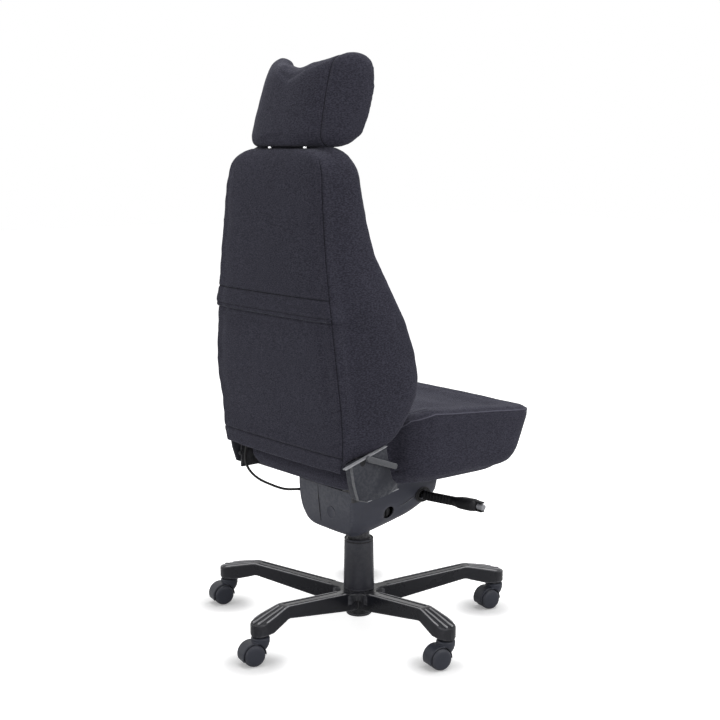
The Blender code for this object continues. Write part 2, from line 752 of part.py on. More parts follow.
def gas_lift():
    inner = TUBE_RADIUS - TUBE_WALL
    taper_inner = TUBE_TAPER_RADIUS - TUBE_WALL
    floor_top = TUBE_BOTTOM + TUBE_FLOOR
    outer_tube = turned("gas_lift_tube", [
        (inner, TUBE_TOP),
        (TUBE_RADIUS, TUBE_TOP),
        (TUBE_RADIUS, HUB_TOP),
        (TUBE_TAPER_RADIUS, TUBE_BOTTOM),
        (ROD_END_RADIUS + TURN_GAP, TUBE_BOTTOM),
        (ROD_END_RADIUS + TURN_GAP, floor_top),
        (taper_inner, floor_top),
        (inner, HUB_TOP),
    ], steps=HIDDEN_STEPS, closed=True)
    keep(outer_tube, BLACK_PAINT, ROOT)

    bush_inner = CYLINDER_RADIUS + TURN_GAP
    flange_low = TUBE_TOP + GAP
    bush = turned("guide_bush", [
        (bush_inner, flange_low + BUSH_FLANGE),
        (TUBE_RADIUS, flange_low + BUSH_FLANGE),
        (TUBE_RADIUS, flange_low),
        (inner - GAP, flange_low),
        (inner - GAP, flange_low - BUSH_LENGTH),
        (bush_inner, flange_low - BUSH_LENGTH),
    ], steps=HIDDEN_STEPS, closed=True)
    keep(bush, BLACK_PLASTIC, ROOT)

    bearing_low = floor_top + GAP
    bearing_top = bearing_low + BEARING_HEIGHT
    bearing_bore = ROD_RADIUS + TURN_GAP
    bearing = ring("thrust_bearing", bearing_bore, BEARING_RADIUS, bearing_low, bearing_top, HIDDEN_STEPS)
    keep(bearing, STEEL, ROOT)

    shoulder_low = bearing_top + GAP
    clip_top = TUBE_BOTTOM - GAP
    clip_low = clip_top - CLIP_THICKNESS
    piston = turned("piston_rod", [
        (0.0, ROD_TOP),
        (ROD_RADIUS, ROD_TOP),
        (ROD_RADIUS, shoulder_low + ROD_SHOULDER),
        (ROD_SHOULDER_RADIUS, shoulder_low + ROD_SHOULDER),
        (ROD_SHOULDER_RADIUS, shoulder_low),
        (ROD_RADIUS, shoulder_low),
        (ROD_RADIUS, floor_top + GAP),
        (ROD_END_RADIUS, floor_top + GAP),
        (ROD_END_RADIUS, clip_low - GAP),
        (ROD_RADIUS, clip_low - GAP),
        (ROD_RADIUS, clip_low - CLIP_THICKNESS),
        (0.0, clip_low - CLIP_THICKNESS),
    ], steps=SMALL_STEPS)
    keep(piston, STEEL, SWIVEL)
    clip = ring("retaining_clip", ROD_END_RADIUS + GAP, CLIP_RADIUS, clip_low, clip_top, SMALL_STEPS)
    keep(clip, STEEL, SWIVEL)

    bore = ROD_RADIUS + TURN_GAP
    cylinder = turned("gas_cylinder", [
        (0.0, CYLINDER_TOP),
        (CYLINDER_TIP_RADIUS, CYLINDER_TOP),
        (CYLINDER_RADIUS, CYLINDER_TAPER_START),
        (CYLINDER_RADIUS, CYLINDER_BOTTOM),
        (bore, CYLINDER_BOTTOM),
        (bore, CYLINDER_BORE_TOP),
        (0.0, CYLINDER_BORE_TOP),
    ], steps=HIDDEN_STEPS)
    valve_low = VALVE_BOTTOM - VALVE_TRAVEL - GAP
    valve_bore = rod("valve_bore", VALVE_RADIUS + TURN_GAP, valve_low, CYLINDER_TOP + GAP)
    cut(cylinder, as_cutter(valve_bore, LIFT))
    keep(cylinder, BLACK_PAINT, LIFT)
    valve_top = LEVER_Z - LEVER_ROD_RADIUS - GAP
    keep(rod("valve_pin", VALVE_RADIUS, VALVE_BOTTOM, valve_top), STEEL, VALVE)


def column_covers():
    foot = HUB_TOP + GAP
    lower = turned("column_cover_lower", [
        (COVER_RIM_RADIUS - COVER_WALL, COVER_TOP),
        (COVER_RIM_RADIUS, COVER_TOP),
        (COVER_FOOT_RADIUS, foot),
        (COVER_FOOT_RADIUS - COVER_WALL, foot),
    ], closed=True)
    keep(lower, BLACK_PLASTIC, ROOT)
    upper = turned("column_cover_upper", [
        (NECK_RADIUS + GAP, UPPER_COVER_TOP),
        (UPPER_COVER_RADIUS, UPPER_COVER_TOP),
        (UPPER_COVER_RADIUS, UPPER_COVER_BOTTOM),
        (UPPER_COVER_RADIUS - COVER_WALL, UPPER_COVER_BOTTOM),
        (UPPER_COVER_RADIUS - COVER_WALL, UPPER_COVER_TOP - COVER_WALL),
        (NECK_RADIUS + GAP, UPPER_COVER_TOP - COVER_WALL),
    ], closed=True)
    keep(upper, BLACK_PLASTIC, LIFT)


# Tilt mechanism

def tilt_ear(name, inner, outer, low, high):
    """Lug round the tilt shaft, with a straight end that reaches up or down to its plate."""
    centre = (TILT_Y, TILT_Z)
    if high > TILT_Z + TILT_LUG_RADIUS:
        outline = arc(centre, TILT_LUG_RADIUS, 180.0, 360.0, 10)
        outline += [(TILT_Y + TILT_LUG_RADIUS, high), (TILT_Y - TILT_LUG_RADIUS, high)]
    else:
        outline = arc(centre, TILT_LUG_RADIUS, 0.0, 180.0, 10)
        outline += [(TILT_Y - TILT_LUG_RADIUS, low), (TILT_Y + TILT_LUG_RADIUS, low)]
    return side_plate(name, outline, inner, outer)


def chassis():
    """Steel core: a tapered neck on the gas cylinder, a box round it and a top plate with lugs."""
    top_plate_high = TOP_PLATE_LOW + CHASSIS_WALL
    half_plate = HOUSING_HALF_WIDTH - HOUSING_WALL - GAP
    core = box("tilt_chassis", (-half_plate, TOP_PLATE_FRONT, TOP_PLATE_LOW),
               (half_plate, TOP_PLATE_REAR, top_plate_high))
    inner_wall = CHASSIS_HALF_WIDTH - CHASSIS_WALL
    forms = [
        box("chassis_floor", (-CHASSIS_HALF_WIDTH, CHASSIS_FRONT, CHASSIS_FLOOR),
            (CHASSIS_HALF_WIDTH, CHASSIS_REAR, CHASSIS_FLOOR + CHASSIS_WALL)),
        rod("neck_form", NECK_RADIUS, NECK_BOTTOM, NECK_TOP, steps=ROUND_STEPS),
    ]
    for side in (-1, 1):
        near, far = sorted((side * inner_wall, side * CHASSIS_HALF_WIDTH))
        forms.append(box(f"chassis_side_{side}", (near, CHASSIS_FRONT, CHASSIS_FLOOR),
                         (far, CHASSIS_REAR, TOP_PLATE_LOW + CHASSIS_WALL / 2)))
        near, far = sorted((side * TILT_LUG_X, side * (TILT_LUG_X + TILT_LUG)))
        forms.append(tilt_ear(f"tilt_lug_{side}", near, far, TOP_PLATE_LOW + CHASSIS_WALL / 2, TILT_Z))
        lug_start = LEVER_Y + side * (LEVER_BOSS_WIDTH / 2 + GAP)
        near, far = sorted((lug_start, lug_start + side * LEVER_LUG))
        forms.append(box(f"lever_lug_{side}",
                         (LEVER_PIVOT_X - LEVER_BOSS_RADIUS, near, LEVER_Z - LEVER_BOSS_RADIUS),
                         (LEVER_PIVOT_X + LEVER_BOSS_RADIUS, far, TOP_PLATE_LOW + CHASSIS_WALL / 2)))
    for form in forms:
        join(core, as_cutter(form, LIFT))
    bores = [
        turned("neck_bore", [
            (0.0, NECK_TOP + GAP),
            (CYLINDER_TIP_RADIUS + GAP, NECK_TOP + GAP),
            (CYLINDER_RADIUS + GAP, CYLINDER_TAPER_START),
            (CYLINDER_RADIUS + GAP, NECK_BOTTOM - GAP),
            (0.0, NECK_BOTTOM - GAP),
        ], steps=HIDDEN_STEPS),
    ]
    shaft_bore = rod("shaft_bore", TILT_SHAFT_RADIUS + GAP, -half_plate, half_plate, "X")
    shaft_bore.location = (0.0, TILT_Y, TILT_Z)
    pin_bore = rod("lever_pin_bore", LEVER_PIN_RADIUS + GAP, -LEVER_BOSS_WIDTH, LEVER_BOSS_WIDTH, "Y")
    pin_bore.location = (LEVER_PIVOT_X, LEVER_Y, LEVER_Z)
    knob_bore = rod("knob_bore", AXLE_RADIUS + TURN_GAP, -KNOB_INNER, 0.0, "X")
    knob_bore.location = (0.0, KNOB_Y, KNOB_Z)
    for bore in bores + [shaft_bore, pin_bore, knob_bore]:
        cut(core, as_cutter(bore, LIFT))
    keep(core, BLACK_PAINT, LIFT)

    shaft_end = TILT_LUG_X + 2 * TILT_LUG + 2 * GAP + TILT_SHAFT_OVERHANG
    shaft = rod("tilt_shaft", TILT_SHAFT_RADIUS, -shaft_end, shaft_end, "X")
    shaft.location = (0.0, TILT_Y, TILT_Z)
    keep(shaft, STEEL, LIFT)
    pin_half = LEVER_BOSS_WIDTH / 2 + LEVER_LUG + 2 * GAP
    pin = rod("lever_pin", LEVER_PIN_RADIUS, -pin_half, pin_half, "Y")
    pin.location = (LEVER_PIVOT_X, LEVER_Y, LEVER_Z)
    keep(pin, STEEL, LIFT)


def housing_hull(name, inset):
    """Boat-shaped hull of the mechanism, drawn in by a wall's thickness for its hollow."""
    flat = NECK_RADIUS + 4 * HOUSING_EDGE
    front_run = HOUSING_FRONT + flat
    rear_run = HOUSING_REAR - flat
    waist = HOUSING_HALF_WIDTH * 0.82
    keel = HOUSING_HALF_WIDTH * 0.42
    depth = HOUSING_TOP - HOUSING_RIM - HOUSING_FLOOR
    flare = HOUSING_FLARE
    # place along Y, rise of the shoulder, waist and floor above the hull's lowest line, and their widths
    stations = (
        (HOUSING_REAR, 0.66, 0.48, 0.22, waist + 2 * flare, keel + 9 * flare),
        (flat + rear_run * 0.62, 0.62, 0.36, 0.10, waist + flare, keel + 4 * flare),
        (flat, 0.58, 0.29, 0.02, waist, keel),
        (-flat, 0.63, 0.37, 0.12, waist, keel),
        (-flat + front_run * 0.36, 0.75, 0.43, 0.25, waist + flare, keel + 4 * flare),
        (-flat + front_run * 0.72, 0.87, 0.58, 0.45, waist + 2 * flare, keel + 8 * flare),
        (HOUSING_FRONT, 0.92, 0.74, 0.60, waist + 4 * flare, keel + 11 * flare),
    )
    rings = []
    for index, (place, shoulder, middle, floor, waist_half, floor_half) in enumerate(stations):
        if index == 0:
            place -= inset
        if index == len(stations) - 1:
            place += inset
        top = HOUSING_TOP + 4 * inset
        half = [
            (HOUSING_HALF_WIDTH - inset, HOUSING_FLOOR + shoulder * depth + inset),
            (waist_half - inset, HOUSING_FLOOR + middle * depth + inset),
            (floor_half - inset / 2, HOUSING_FLOOR + floor * depth + inset),
        ]
        outline = [(HOUSING_HALF_WIDTH - inset, top)] + half
        outline += [(-across, height) for across, height in reversed(outline)]
        rings.append([Vector((across, place, height)) for across, height in outline])
    return loft(name, rings)


def housing():
    """Grey cover round the mechanism, in two halves that meet on the middle plane."""
    reach = 2 * HOUSING_HALF_WIDTH
    for label, side in (("left", 1), ("right", -1)):
        half = housing_hull(f"housing_{label}", 0.0)
        round_edges(half, HOUSING_EDGE)
        cut(half, as_cutter(housing_hull(f"housing_{label}_hollow", HOUSING_WALL), LIFT))
        near, far = sorted((side * GAP / 2, -side * reach))
        split = box(f"housing_{label}_split", (near, -reach, 0.0), (far, reach, HOUSING_TOP + reach))
        cut(half, as_cutter(split, LIFT))
        neck_hole = rod(f"housing_{label}_neck_hole", NECK_RADIUS + GAP, NECK_BOTTOM, NECK_TOP,
                        steps=ROUND_STEPS)
        cut(half, as_cutter(neck_hole, LIFT))
        if side < 0:
            slot_half = LEVER_SLOT_HALF_WIDTH
            lever_slot = box("lever_slot", (-reach, LEVER_Y - slot_half, LEVER_Z - slot_half),
                             (LEVER_PIVOT_X, LEVER_Y + slot_half, LEVER_Z + LEVER_SLOT_HALF_HEIGHT))
            knob_hole = rod("knob_hole", KNOB_RADIUS + KNOB_ROOM, -reach, -KNOB_INNER, "X", ROUND_STEPS)
            knob_hole.location = (0.0, KNOB_Y, KNOB_Z)
            cut(half, as_cutter(lever_slot, LIFT))
            cut(half, as_cutter(knob_hole, LIFT))
        else:
            gland = tube("cable_gland_bore", cable_points()[-5:], CABLE_RADIUS + GAP, 2)
            cut(half, as_cutter(gland, LIFT))
        keep(half, GREY_PLASTIC, LIFT)


def tension_knob():
    """Slotted adjuster of the tilt spring, sunk in the right side of the housing."""
    wall_inside = -(CHASSIS_HALF_WIDTH - CHASSIS_WALL - TURN_GAP)
    knob = turned("tension_knob", [
        (0.0, wall_inside),
        (AXLE_RADIUS, wall_inside),
        (AXLE_RADIUS, -KNOB_INNER),
        (KNOB_RADIUS, -KNOB_INNER),
        (KNOB_RADIUS, -KNOB_OUTER),
        (0.0, -KNOB_OUTER),
    ], "X", HIDDEN_STEPS)
    knob.location = (0.0, KNOB_Y, KNOB_Z)
    slot = box("knob_slot", (-KNOB_OUTER - KNOB_SLOT, KNOB_Y - KNOB_SLOT / 2, KNOB_Z - 2 * KNOB_RADIUS),
               (-KNOB_OUTER + KNOB_SLOT_DEPTH, KNOB_Y + KNOB_SLOT / 2, KNOB_Z + 2 * KNOB_RADIUS))
    cut(knob, as_cutter(slot, TENSION))
    keep(knob, BLACK_PLASTIC, TENSION)


# Height lever

def lever_line(x):
    """Height of the lever's middle line, which climbs gently outside the housing."""
    return LEVER_Z + LEVER_RISE * max(0.0, LEVER_KINK_X - x)


def height_lever():
    bend = LEVER_BEND
    route = [(0.0, VALVE_RADIUS, LEVER_Z), (0.0, LEVER_Y + bend, LEVER_Z)]
    for angle in (22.5, 45.0, 67.5):
        turn = math.radians(angle)
        route.append((-bend + bend * math.cos(turn), LEVER_Y + bend - bend * math.sin(turn), LEVER_Z))
    route += [(-bend, LEVER_Y, LEVER_Z), (LEVER_KINK_X, LEVER_Y, LEVER_Z)]
    route.append((LEVER_ROD_END_X, LEVER_Y, lever_line(LEVER_ROD_END_X)))
    bar = tube("height_lever_rod", route, LEVER_ROD_RADIUS, 2)
    boss = rod("lever_boss_form", LEVER_BOSS_RADIUS, -LEVER_BOSS_WIDTH / 2, LEVER_BOSS_WIDTH / 2, "Y")
    boss.location = (LEVER_PIVOT_X, LEVER_Y, LEVER_Z)
    join(bar, as_cutter(boss, LEVER))
    pin_hole = rod("lever_pin_hole", LEVER_PIN_RADIUS + TURN_GAP, -LEVER_BOSS_WIDTH, LEVER_BOSS_WIDTH, "Y")
    pin_hole.location = (LEVER_PIVOT_X, LEVER_Y, LEVER_Z)
    cut(bar, as_cutter(pin_hole, LEVER))
    keep(bar, BLACK_PAINT, LEVER)

    widen = (HANDLE_NECK_X - HANDLE_END_X) / 3
    stations = (
        (HANDLE_START_X, HANDLE_HALF_WIDTH, HANDLE_HALF_HEIGHT),
        (HANDLE_NECK_X, HANDLE_HALF_WIDTH, HANDLE_HALF_HEIGHT),
        (HANDLE_NECK_X - widen, PADDLE_HALF_WIDTH, PADDLE_HALF_HEIGHT),
        (HANDLE_END_X, PADDLE_HALF_WIDTH, PADDLE_HALF_HEIGHT),
    )
    rings = []
    for x, half_width, half_height in stations:
        outline = []
        for step in range(SMALL_STEPS):
            angle = 2 * math.pi * step / SMALL_STEPS
            across = math.copysign(abs(math.cos(angle)) ** 0.6, math.cos(angle))
            up = math.copysign(abs(math.sin(angle)) ** 0.6, math.sin(angle))
            outline.append(Vector((x, LEVER_Y + half_width * across, lever_line(x) + half_height * up)))
        rings.append(outline)
    handle = loft("height_lever_handle", rings)
    hole_end = (LEVER_ROD_END_X - TURN_GAP, LEVER_Y, lever_line(LEVER_ROD_END_X))
    bar_hole = tube("lever_bar_hole", [route[-2], hole_end], LEVER_ROD_RADIUS + TURN_GAP, 2)
    cut(handle, as_cutter(bar_hole, LEVER))
    spigot_hole = rod("lock_spigot_hole", LOCK_SPIGOT_RADIUS + TURN_GAP, HANDLE_END_X - TURN_GAP,
                      HANDLE_END_X + LOCK_SPIGOT_LENGTH + TURN_GAP, "X")
    spigot_hole.location = (0.0, LEVER_Y, lever_line(HANDLE_END_X))
    cut(handle, as_cutter(spigot_hole, LEVER))
    keep(handle, BLACK_PLASTIC, LEVER)

    inner = HANDLE_END_X - GAP
    outer = inner - LOCK_KNOB_LENGTH
    lock = turned("tilt_lock_knob", [
        (0.0, HANDLE_END_X + LOCK_SPIGOT_LENGTH),
        (LOCK_SPIGOT_RADIUS, HANDLE_END_X + LOCK_SPIGOT_LENGTH),
        (LOCK_SPIGOT_RADIUS, inner),
        (LOCK_KNOB_RADIUS, inner),
        (LOCK_KNOB_RADIUS, outer + LOCK_SPIGOT_RADIUS),
        (LOCK_KNOB_RADIUS - LOCK_SPIGOT_RADIUS / 2, outer),
        (0.0, outer),
    ], "X", HIDDEN_STEPS)
    lock.location = (0.0, LEVER_Y, lever_line(HANDLE_END_X))
    keep(lock, GREY_PLASTIC, LOCK)


# Seat

def seat_outline(inset, rake=0.0, rear_share=1.0):
    """Ring round the seat, notched at the rear, drawn in by an inset and at its front by a rake.

    The rear may be drawn in by only a share of the inset.
    """
    width = SEAT_HALF_WIDTH
    rear_width = SEAT_REAR_HALF_WIDTH
    corner = width - rear_width
    half = [
        (0.0, SEAT_FRONT),
        (width * 0.55, SEAT_FRONT + corner * 0.02),
        (width - corner * 0.42, SEAT_FRONT + corner * 0.12),
        (width - corner * 0.06, SEAT_FRONT + corner * 0.55),
        (width, SEAT_FRONT + corner * 1.5),
        (width, (SEAT_FRONT + SEAT_NOTCH_Y) / 2),
        (width - corner * 0.05, SEAT_NOTCH_Y - corner * 1.2),
        (width - corner * 0.42, SEAT_NOTCH_Y - corner * 0.35),
        (rear_width + corner * 0.12, SEAT_NOTCH_Y + corner * 0.05),
        (rear_width, SEAT_NOTCH_Y + corner * 0.6),
        (rear_width, SEAT_REAR - corner * 0.4),
        (rear_width - corner * 0.22, SEAT_REAR - corner * 0.04),
        (0.0, SEAT_REAR),
    ]
    middle = (SEAT_FRONT + SEAT_REAR) / 2
    length = (SEAT_REAR - SEAT_FRONT) / 2
    drawn = []
    for x, y in half:
        forward = max(0.0, (middle - y) / length)
        drawn_in = inset * rear_share if y > middle else inset
        placed = middle + (y - middle) * (1 - drawn_in / length) + rake * forward ** 2
        drawn.append((x * (1 - inset / width), placed))
    return mirrored(drawn)


def seat_edge(y):
    """Height of the seam round the top of the seat."""
    stops = (
        (SEAT_FRONT, SEAT_FRONT_TOP),
        (SEAT_FRONT + SEAT_HALF_WIDTH / 2, SEAT_FRONT_TOP + (SEAT_MID_TOP - SEAT_FRONT_TOP) * 0.45),
        (SEAT_NOTCH_Y - SEAT_HALF_WIDTH / 3, SEAT_MID_TOP),
        (SEAT_NOTCH_Y - SEAT_HALF_WIDTH / 8, SEAT_MID_TOP - SEAT_SHOULDER_DROP),
        (SEAT_NOTCH_Y + SEAT_HALF_WIDTH / 16, SEAT_REAR_TOP + (SEAT_MID_TOP - SEAT_REAR_TOP) * 0.48),
        (SEAT_REAR, SEAT_REAR_TOP),
    )
    return ramp(y, stops)


def seat():
    pan_low = CARRIER_LOW + CARRIER_THICKNESS + GAP
    pan_top = pan_low + PAN_THICKNESS
    cushion_low = pan_top + GAP

    carrier = box("seat_carrier", (-CARRIER_HALF_WIDTH, CARRIER_FRONT, CARRIER_LOW),
                  (CARRIER_HALF_WIDTH, CARRIER_REAR, CARRIER_LOW + CARRIER_THICKNESS))
    for side in (-1, 1):
        start = TILT_LUG_X + TILT_LUG + GAP
        near, far = sorted((side * start, side * (start + TILT_LUG)))
        ear = tilt_ear(f"carrier_ear_{side}", near, far, TILT_Z, CARRIER_LOW + CARRIER_THICKNESS / 2)
        join(carrier, as_cutter(ear, TILT))
    ear_bore = rod("ear_bore", TILT_SHAFT_RADIUS + TURN_GAP, -CARRIER_HALF_WIDTH, CARRIER_HALF_WIDTH, "X")
    ear_bore.location = (0.0, TILT_Y, TILT_Z)
    cut(carrier, as_cutter(ear_bore, TILT))
    keep(carrier, BLACK_PAINT, TILT)

    pan_rings = []
    pan_middle = pan_low + PAN_THICKNESS / 2
    for inset, height in ((PAN_INSET + PAN_FLARE, pan_low), (PAN_INSET, pan_middle), (PAN_INSET, pan_top)):
        ring_points = spline_points(seat_outline(inset, PAN_RAKE, PAN_REAR_SHARE), 2, True)
        pan_rings.append([Vector((*point, height)) for point in ring_points])
    keep(loft("seat_pan", pan_rings), GREY_PLASTIC, TILT)

    # inset of each ring, its share of the way up the side, and how far it lies under the seam's height
    side_rings = ((SEAT_ROLL, 0.0), (SEAT_ROLL / 4, 0.06), (0.0, 0.22), (SEAT_DRAW_IN, 0.62),
                  (SEAT_LIP, 0.93))
    top_rings = ((SEAT_ROLL / 3, 0.0), (SEAT_ROLL * 1.6, -SEAT_WELT_RISE), (SEAT_ROLL * 4, SEAT_HOLLOW * 0.7),
                 (SEAT_ROLL * 7, SEAT_HOLLOW), (SEAT_ROLL * 10.5, SEAT_HOLLOW - SEAT_CROWN))
    rings = []
    for inset, share in side_rings:
        rake = SEAT_RAKE * (1.0 - share) ** 2
        ring_points = spline_points(seat_outline(inset, rake), 2, True)
        side = [(x, y, cushion_low + share * (seat_edge(y) - cushion_low)) for x, y in ring_points]
        rings.append([Vector(point) for point in side])
    for inset, under in top_rings:
        ring_points = spline_points(seat_outline(inset), 2, True)
        rings.append([Vector((x, y, seat_edge(y) - under)) for x, y in ring_points])
    keep(loft("seat_cushion", rings), FABRIC, TILT)
    return pan_low


# Recliner

def seat_plates(pan_low):
    """Steel angle plates that carry the recliner pins at both sides of the seat."""
    flange_top = pan_low - GAP
    centre = (RECLINE_Y, RECLINE_Z)
    for label, side in (("left", 1), ("right", -1)):
        outer = SEAT_PLATE_INNER + PLATE_THICKNESS
        near, far = sorted((side * SEAT_PLATE_INNER, side * outer))
        outline = [(PLATE_FRONT, flange_top - PLATE_FLANGE), (PLATE_REAR, flange_top - PLATE_FLANGE)]
        outline.append((PLATE_REAR, RECLINE_Z + PLATE_HUB_RADIUS / 2))
        outline += arc(centre, PLATE_HUB_RADIUS, 30.0, 165.0, 10)
        plate = side_plate(f"seat_plate_{label}", outline, near, far)
        near, far = sorted((side * PLATE_FLANGE_REACH, side * (SEAT_PLATE_INNER + PLATE_THICKNESS / 2)))
        flange = box(f"seat_plate_{label}_flange", (near, PLATE_FRONT, flange_top - PLATE_FLANGE),
                     (far, PLATE_FLANGE_REAR, flange_top))
        join(plate, as_cutter(flange, TILT))
        pin_bore = rod(f"seat_plate_{label}_bore", RECLINE_PIN_RADIUS + GAP, -COVER_OUTER, COVER_OUTER, "X")
        pin_bore.location = (0.0, *centre)
        cut(plate, as_cutter(pin_bore, TILT))
        if side > 0:
            clip_x, clip_y = cable_points()[0][:2]
            clip_end = SEAT_PLATE_INNER + PLATE_THICKNESS / 2
            clip_top = CABLE_CLIP_Z + CABLE_CLIP_HEIGHT
            wide = 2 * CABLE_RADIUS
            clip = box("cable_clip_form", (clip_x - 1.5 * wide, clip_y - wide, CABLE_CLIP_Z),
                       (clip_end, clip_y + wide, clip_top))
            join(plate, as_cutter(clip, TILT))
            cut(plate, as_cutter(tube("cable_clip_bore", cable_points(), CABLE_RADIUS + GAP, 2), TILT))
        keep(plate, BLACK_PAINT, TILT)

        head_low = SEAT_PLATE_INNER - GAP - RECLINE_PIN_HEAD
        pin_end = SEAT_PLATE_INNER + 2 * PLATE_THICKNESS + GAP
        profile = [
            (0.0, head_low),
            (RECLINE_PIN_HEAD_RADIUS, head_low),
            (RECLINE_PIN_HEAD_RADIUS, SEAT_PLATE_INNER - GAP),
            (RECLINE_PIN_RADIUS, SEAT_PLATE_INNER - GAP),
            (RECLINE_PIN_RADIUS, pin_end),
            (0.0, pin_end),
        ]
        profile = [(radius, side * place) for radius, place in profile]
        pin = turned(f"recliner_pin_{label}", profile, "X", SMALL_STEPS)
        pin.location = (0.0, *centre)
        keep(pin, STEEL, TILT)


def cable_points():
    """Smooth line of the cable, from its clip on the left plate to its gland in the housing."""
    start = HOUSING_HALF_WIDTH - CABLE_GLAND_DEPTH
    reach = SEAT_PLATE_INNER - CABLE_PLATE_ROOM - start
    return spline_points([(start + share * reach, y, z) for share, y, z in CABLE_ROUTE], 2, False)


def release_cable():
    keep(tube("release_cable", cable_points(), CABLE_RADIUS, 2), CABLE_JACKET, TILT)


def back_arms():
    """Steel straps that turn on the recliner pins and reach up into the backrest."""
    centre = (RECLINE_Y, RECLINE_Z)
    inner = SEAT_PLATE_INNER + PLATE_THICKNESS + GAP
    outline = [(ARM_STRAP_FRONT, ARM_STRAP_TOP), (ARM_STRAP_FRONT, RECLINE_Z + PLATE_HUB_RADIUS)]
    outline += arc(centre, PLATE_HUB_RADIUS, 150.0, 335.0, 9)
    outline += [(ARM_STRAP_REAR, RECLINE_Z + 2 * PLATE_HUB_RADIUS), (ARM_STRAP_REAR, ARM_STRAP_TOP)]
    for label, side in (("left", 1), ("right", -1)):
        near, far = sorted((side * inner, side * (inner + PLATE_THICKNESS)))
        strap = side_plate(f"back_arm_{label}", outline, near, far)
        bore = rod(f"back_arm_{label}_bore", RECLINE_PIN_RADIUS + TURN_GAP, -COVER_OUTER, COVER_OUTER, "X")
        bore.location = (0.0, *centre)
        cut(strap, as_cutter(bore, RECLINE))
        keep(strap, BLACK_PAINT, RECLINE)


def cover_outline(trim):
    """Outline of a recliner cover, which hangs from the sloping lower edge of the back.

    The trim shortens its rear.
    """
    hub = PLATE_HUB_RADIUS
    top_front = RECLINE_Y - hub
    top_rear = RECLINE_Y + 2.77 * hub - trim
    outline = [(top_rear, back_bottom(top_rear) - 2 * GAP), (top_front, back_bottom(top_front) - 2 * GAP)]
    corners = ((-1.42, 0.5), (-1.69, -0.385), (-2.58, -1.46), (1.04, -1.96), (2.04, -1.65), (2.46, -0.346))
    for back, up in corners:
        outline.append((RECLINE_Y + back * hub - (trim if back > 2 else 0.0), RECLINE_Z + up * hub))
    return outline


def recliner_covers():
    inner = COVER_INNER
    for label, side in (("left", 1), ("right", -1)):
        depth = LEFT_COVER_DEPTH if side > 0 else RIGHT_COVER_DEPTH
        near, far = sorted((side * inner, side * (inner + depth)))
        outline = cover_outline(LEFT_COVER_TRIM if side > 0 else 0.0)
        cover = side_plate(f"recliner_cover_{label}", outline, near, far)
        round_edges(cover, COVER_EDGE, 2)
        pin_room = rod(f"recliner_cover_{label}_room", RECLINE_PIN_RADIUS + TURN_GAP,
                       -inner - TURN_GAP, inner + TURN_GAP, "X")
        pin_room.location = (0.0, RECLINE_Y, RECLINE_Z)
        cut(cover, as_cutter(pin_room, RECLINE))
        if side < 0:
            spigot_end = COVER_OUTER - RECLINER_LEVER_SPIGOT
            bore = rod("recliner_lever_bore", RECLINER_LEVER_SPIGOT_RADIUS + TURN_GAP,
                       -COVER_OUTER - GAP, -spigot_end + TURN_GAP, "X")
            bore.location = (0.0, RECLINER_LEVER_Y, RECLINER_LEVER_Z)
            cut(cover, as_cutter(bore, RECLINE))
        keep(cover, GREY_PLASTIC, RECLINE)


def recliner_lever():
    """Release lever on the right-hand recliner cover."""
    half = RECLINER_LEVER_HALF_HEIGHT
    outline = arc((0.0, 0.0), half, -90.0, 90.0, 8)
    outline += [(-RECLINER_LEVER_LENGTH, half), (-RECLINER_LEVER_LENGTH, -half)]
    tilt = RECLINER_LEVER_DROOP
    placed = []
    for along, up in outline:
        y = RECLINER_LEVER_Y + along * math.cos(tilt) - up * math.sin(tilt)
        z = RECLINER_LEVER_Z + along * math.sin(tilt) + up * math.cos(tilt)
        placed.append((y, z))
    inner = -COVER_OUTER - GAP
    lever = side_plate("recliner_lever", placed, inner, inner - RECLINER_LEVER_THICKNESS)
    spigot = rod("recliner_lever_spigot", RECLINER_LEVER_SPIGOT_RADIUS, inner - RECLINER_LEVER_THICKNESS / 2,
                 -COVER_OUTER + RECLINER_LEVER_SPIGOT, "X")
    spigot.location = (0.0, RECLINER_LEVER_Y, RECLINER_LEVER_Z)
    join(lever, as_cutter(spigot, RECLINER_LEVER))
    keep(lever, GREY_PLASTIC, RECLINER_LEVER)


# Backrest

# Height at the rear, half width of the rear panel as a share of the seat's, its place along Y, half width at
# the bolsters as a share of the seat's, places of the bolsters' front and of the middle's front
BACK_SECTIONS = (
    (BACK_BOTTOM_REAR, 0.874, 0.234, 0.945, 0.108, 0.140),
    (BACK_BOTTOM_REAR + 0.012, 0.894, 0.236, 0.969, 0.090, 0.130),
    (0.540, 0.902, 0.238, 0.988, 0.049, 0.124),
    (0.630, 0.909, 0.249, 0.992, 0.030, 0.126),
    (0.760, 0.850, 0.254, 0.950, 0.062, 0.142),
    (0.900, 0.774, 0.255, 0.845, 0.124, 0.158),
    (1.020, 0.714, 0.251, 0.770, 0.143, 0.162),
    (1.075, 0.678, 0.246, 0.732, 0.147, 0.163),
    (BACK_TOP - 0.016, 0.600, 0.241, 0.650, 0.157, 0.168),
    (BACK_TOP, 0.445, 0.230, 0.480, 0.178, 0.182),
)


def back_bottom(y):
    """Height of the backrest's lower edge, which climbs towards the front."""
    return BACK_BOTTOM_REAR + BACK_BOTTOM_SLOPE * (BACK_SECTIONS[0][2] - y)


def back_rows():
    """Sections of the backrest from the bottom up, closer together than the driving ones."""
    width = SEAT_HALF_WIDTH
    firsts = [(height, share * width, rear) for height, share, rear, *rest in BACK_SECTIONS]
    lasts = [(share * width, bolster, middle) for *rest, share, bolster, middle in BACK_SECTIONS]
    firsts = spline_points(firsts, 2, False)
    lasts = spline_points(lasts, 2, False)
    return [(*first, *last) for first, last in zip(firsts, lasts)]


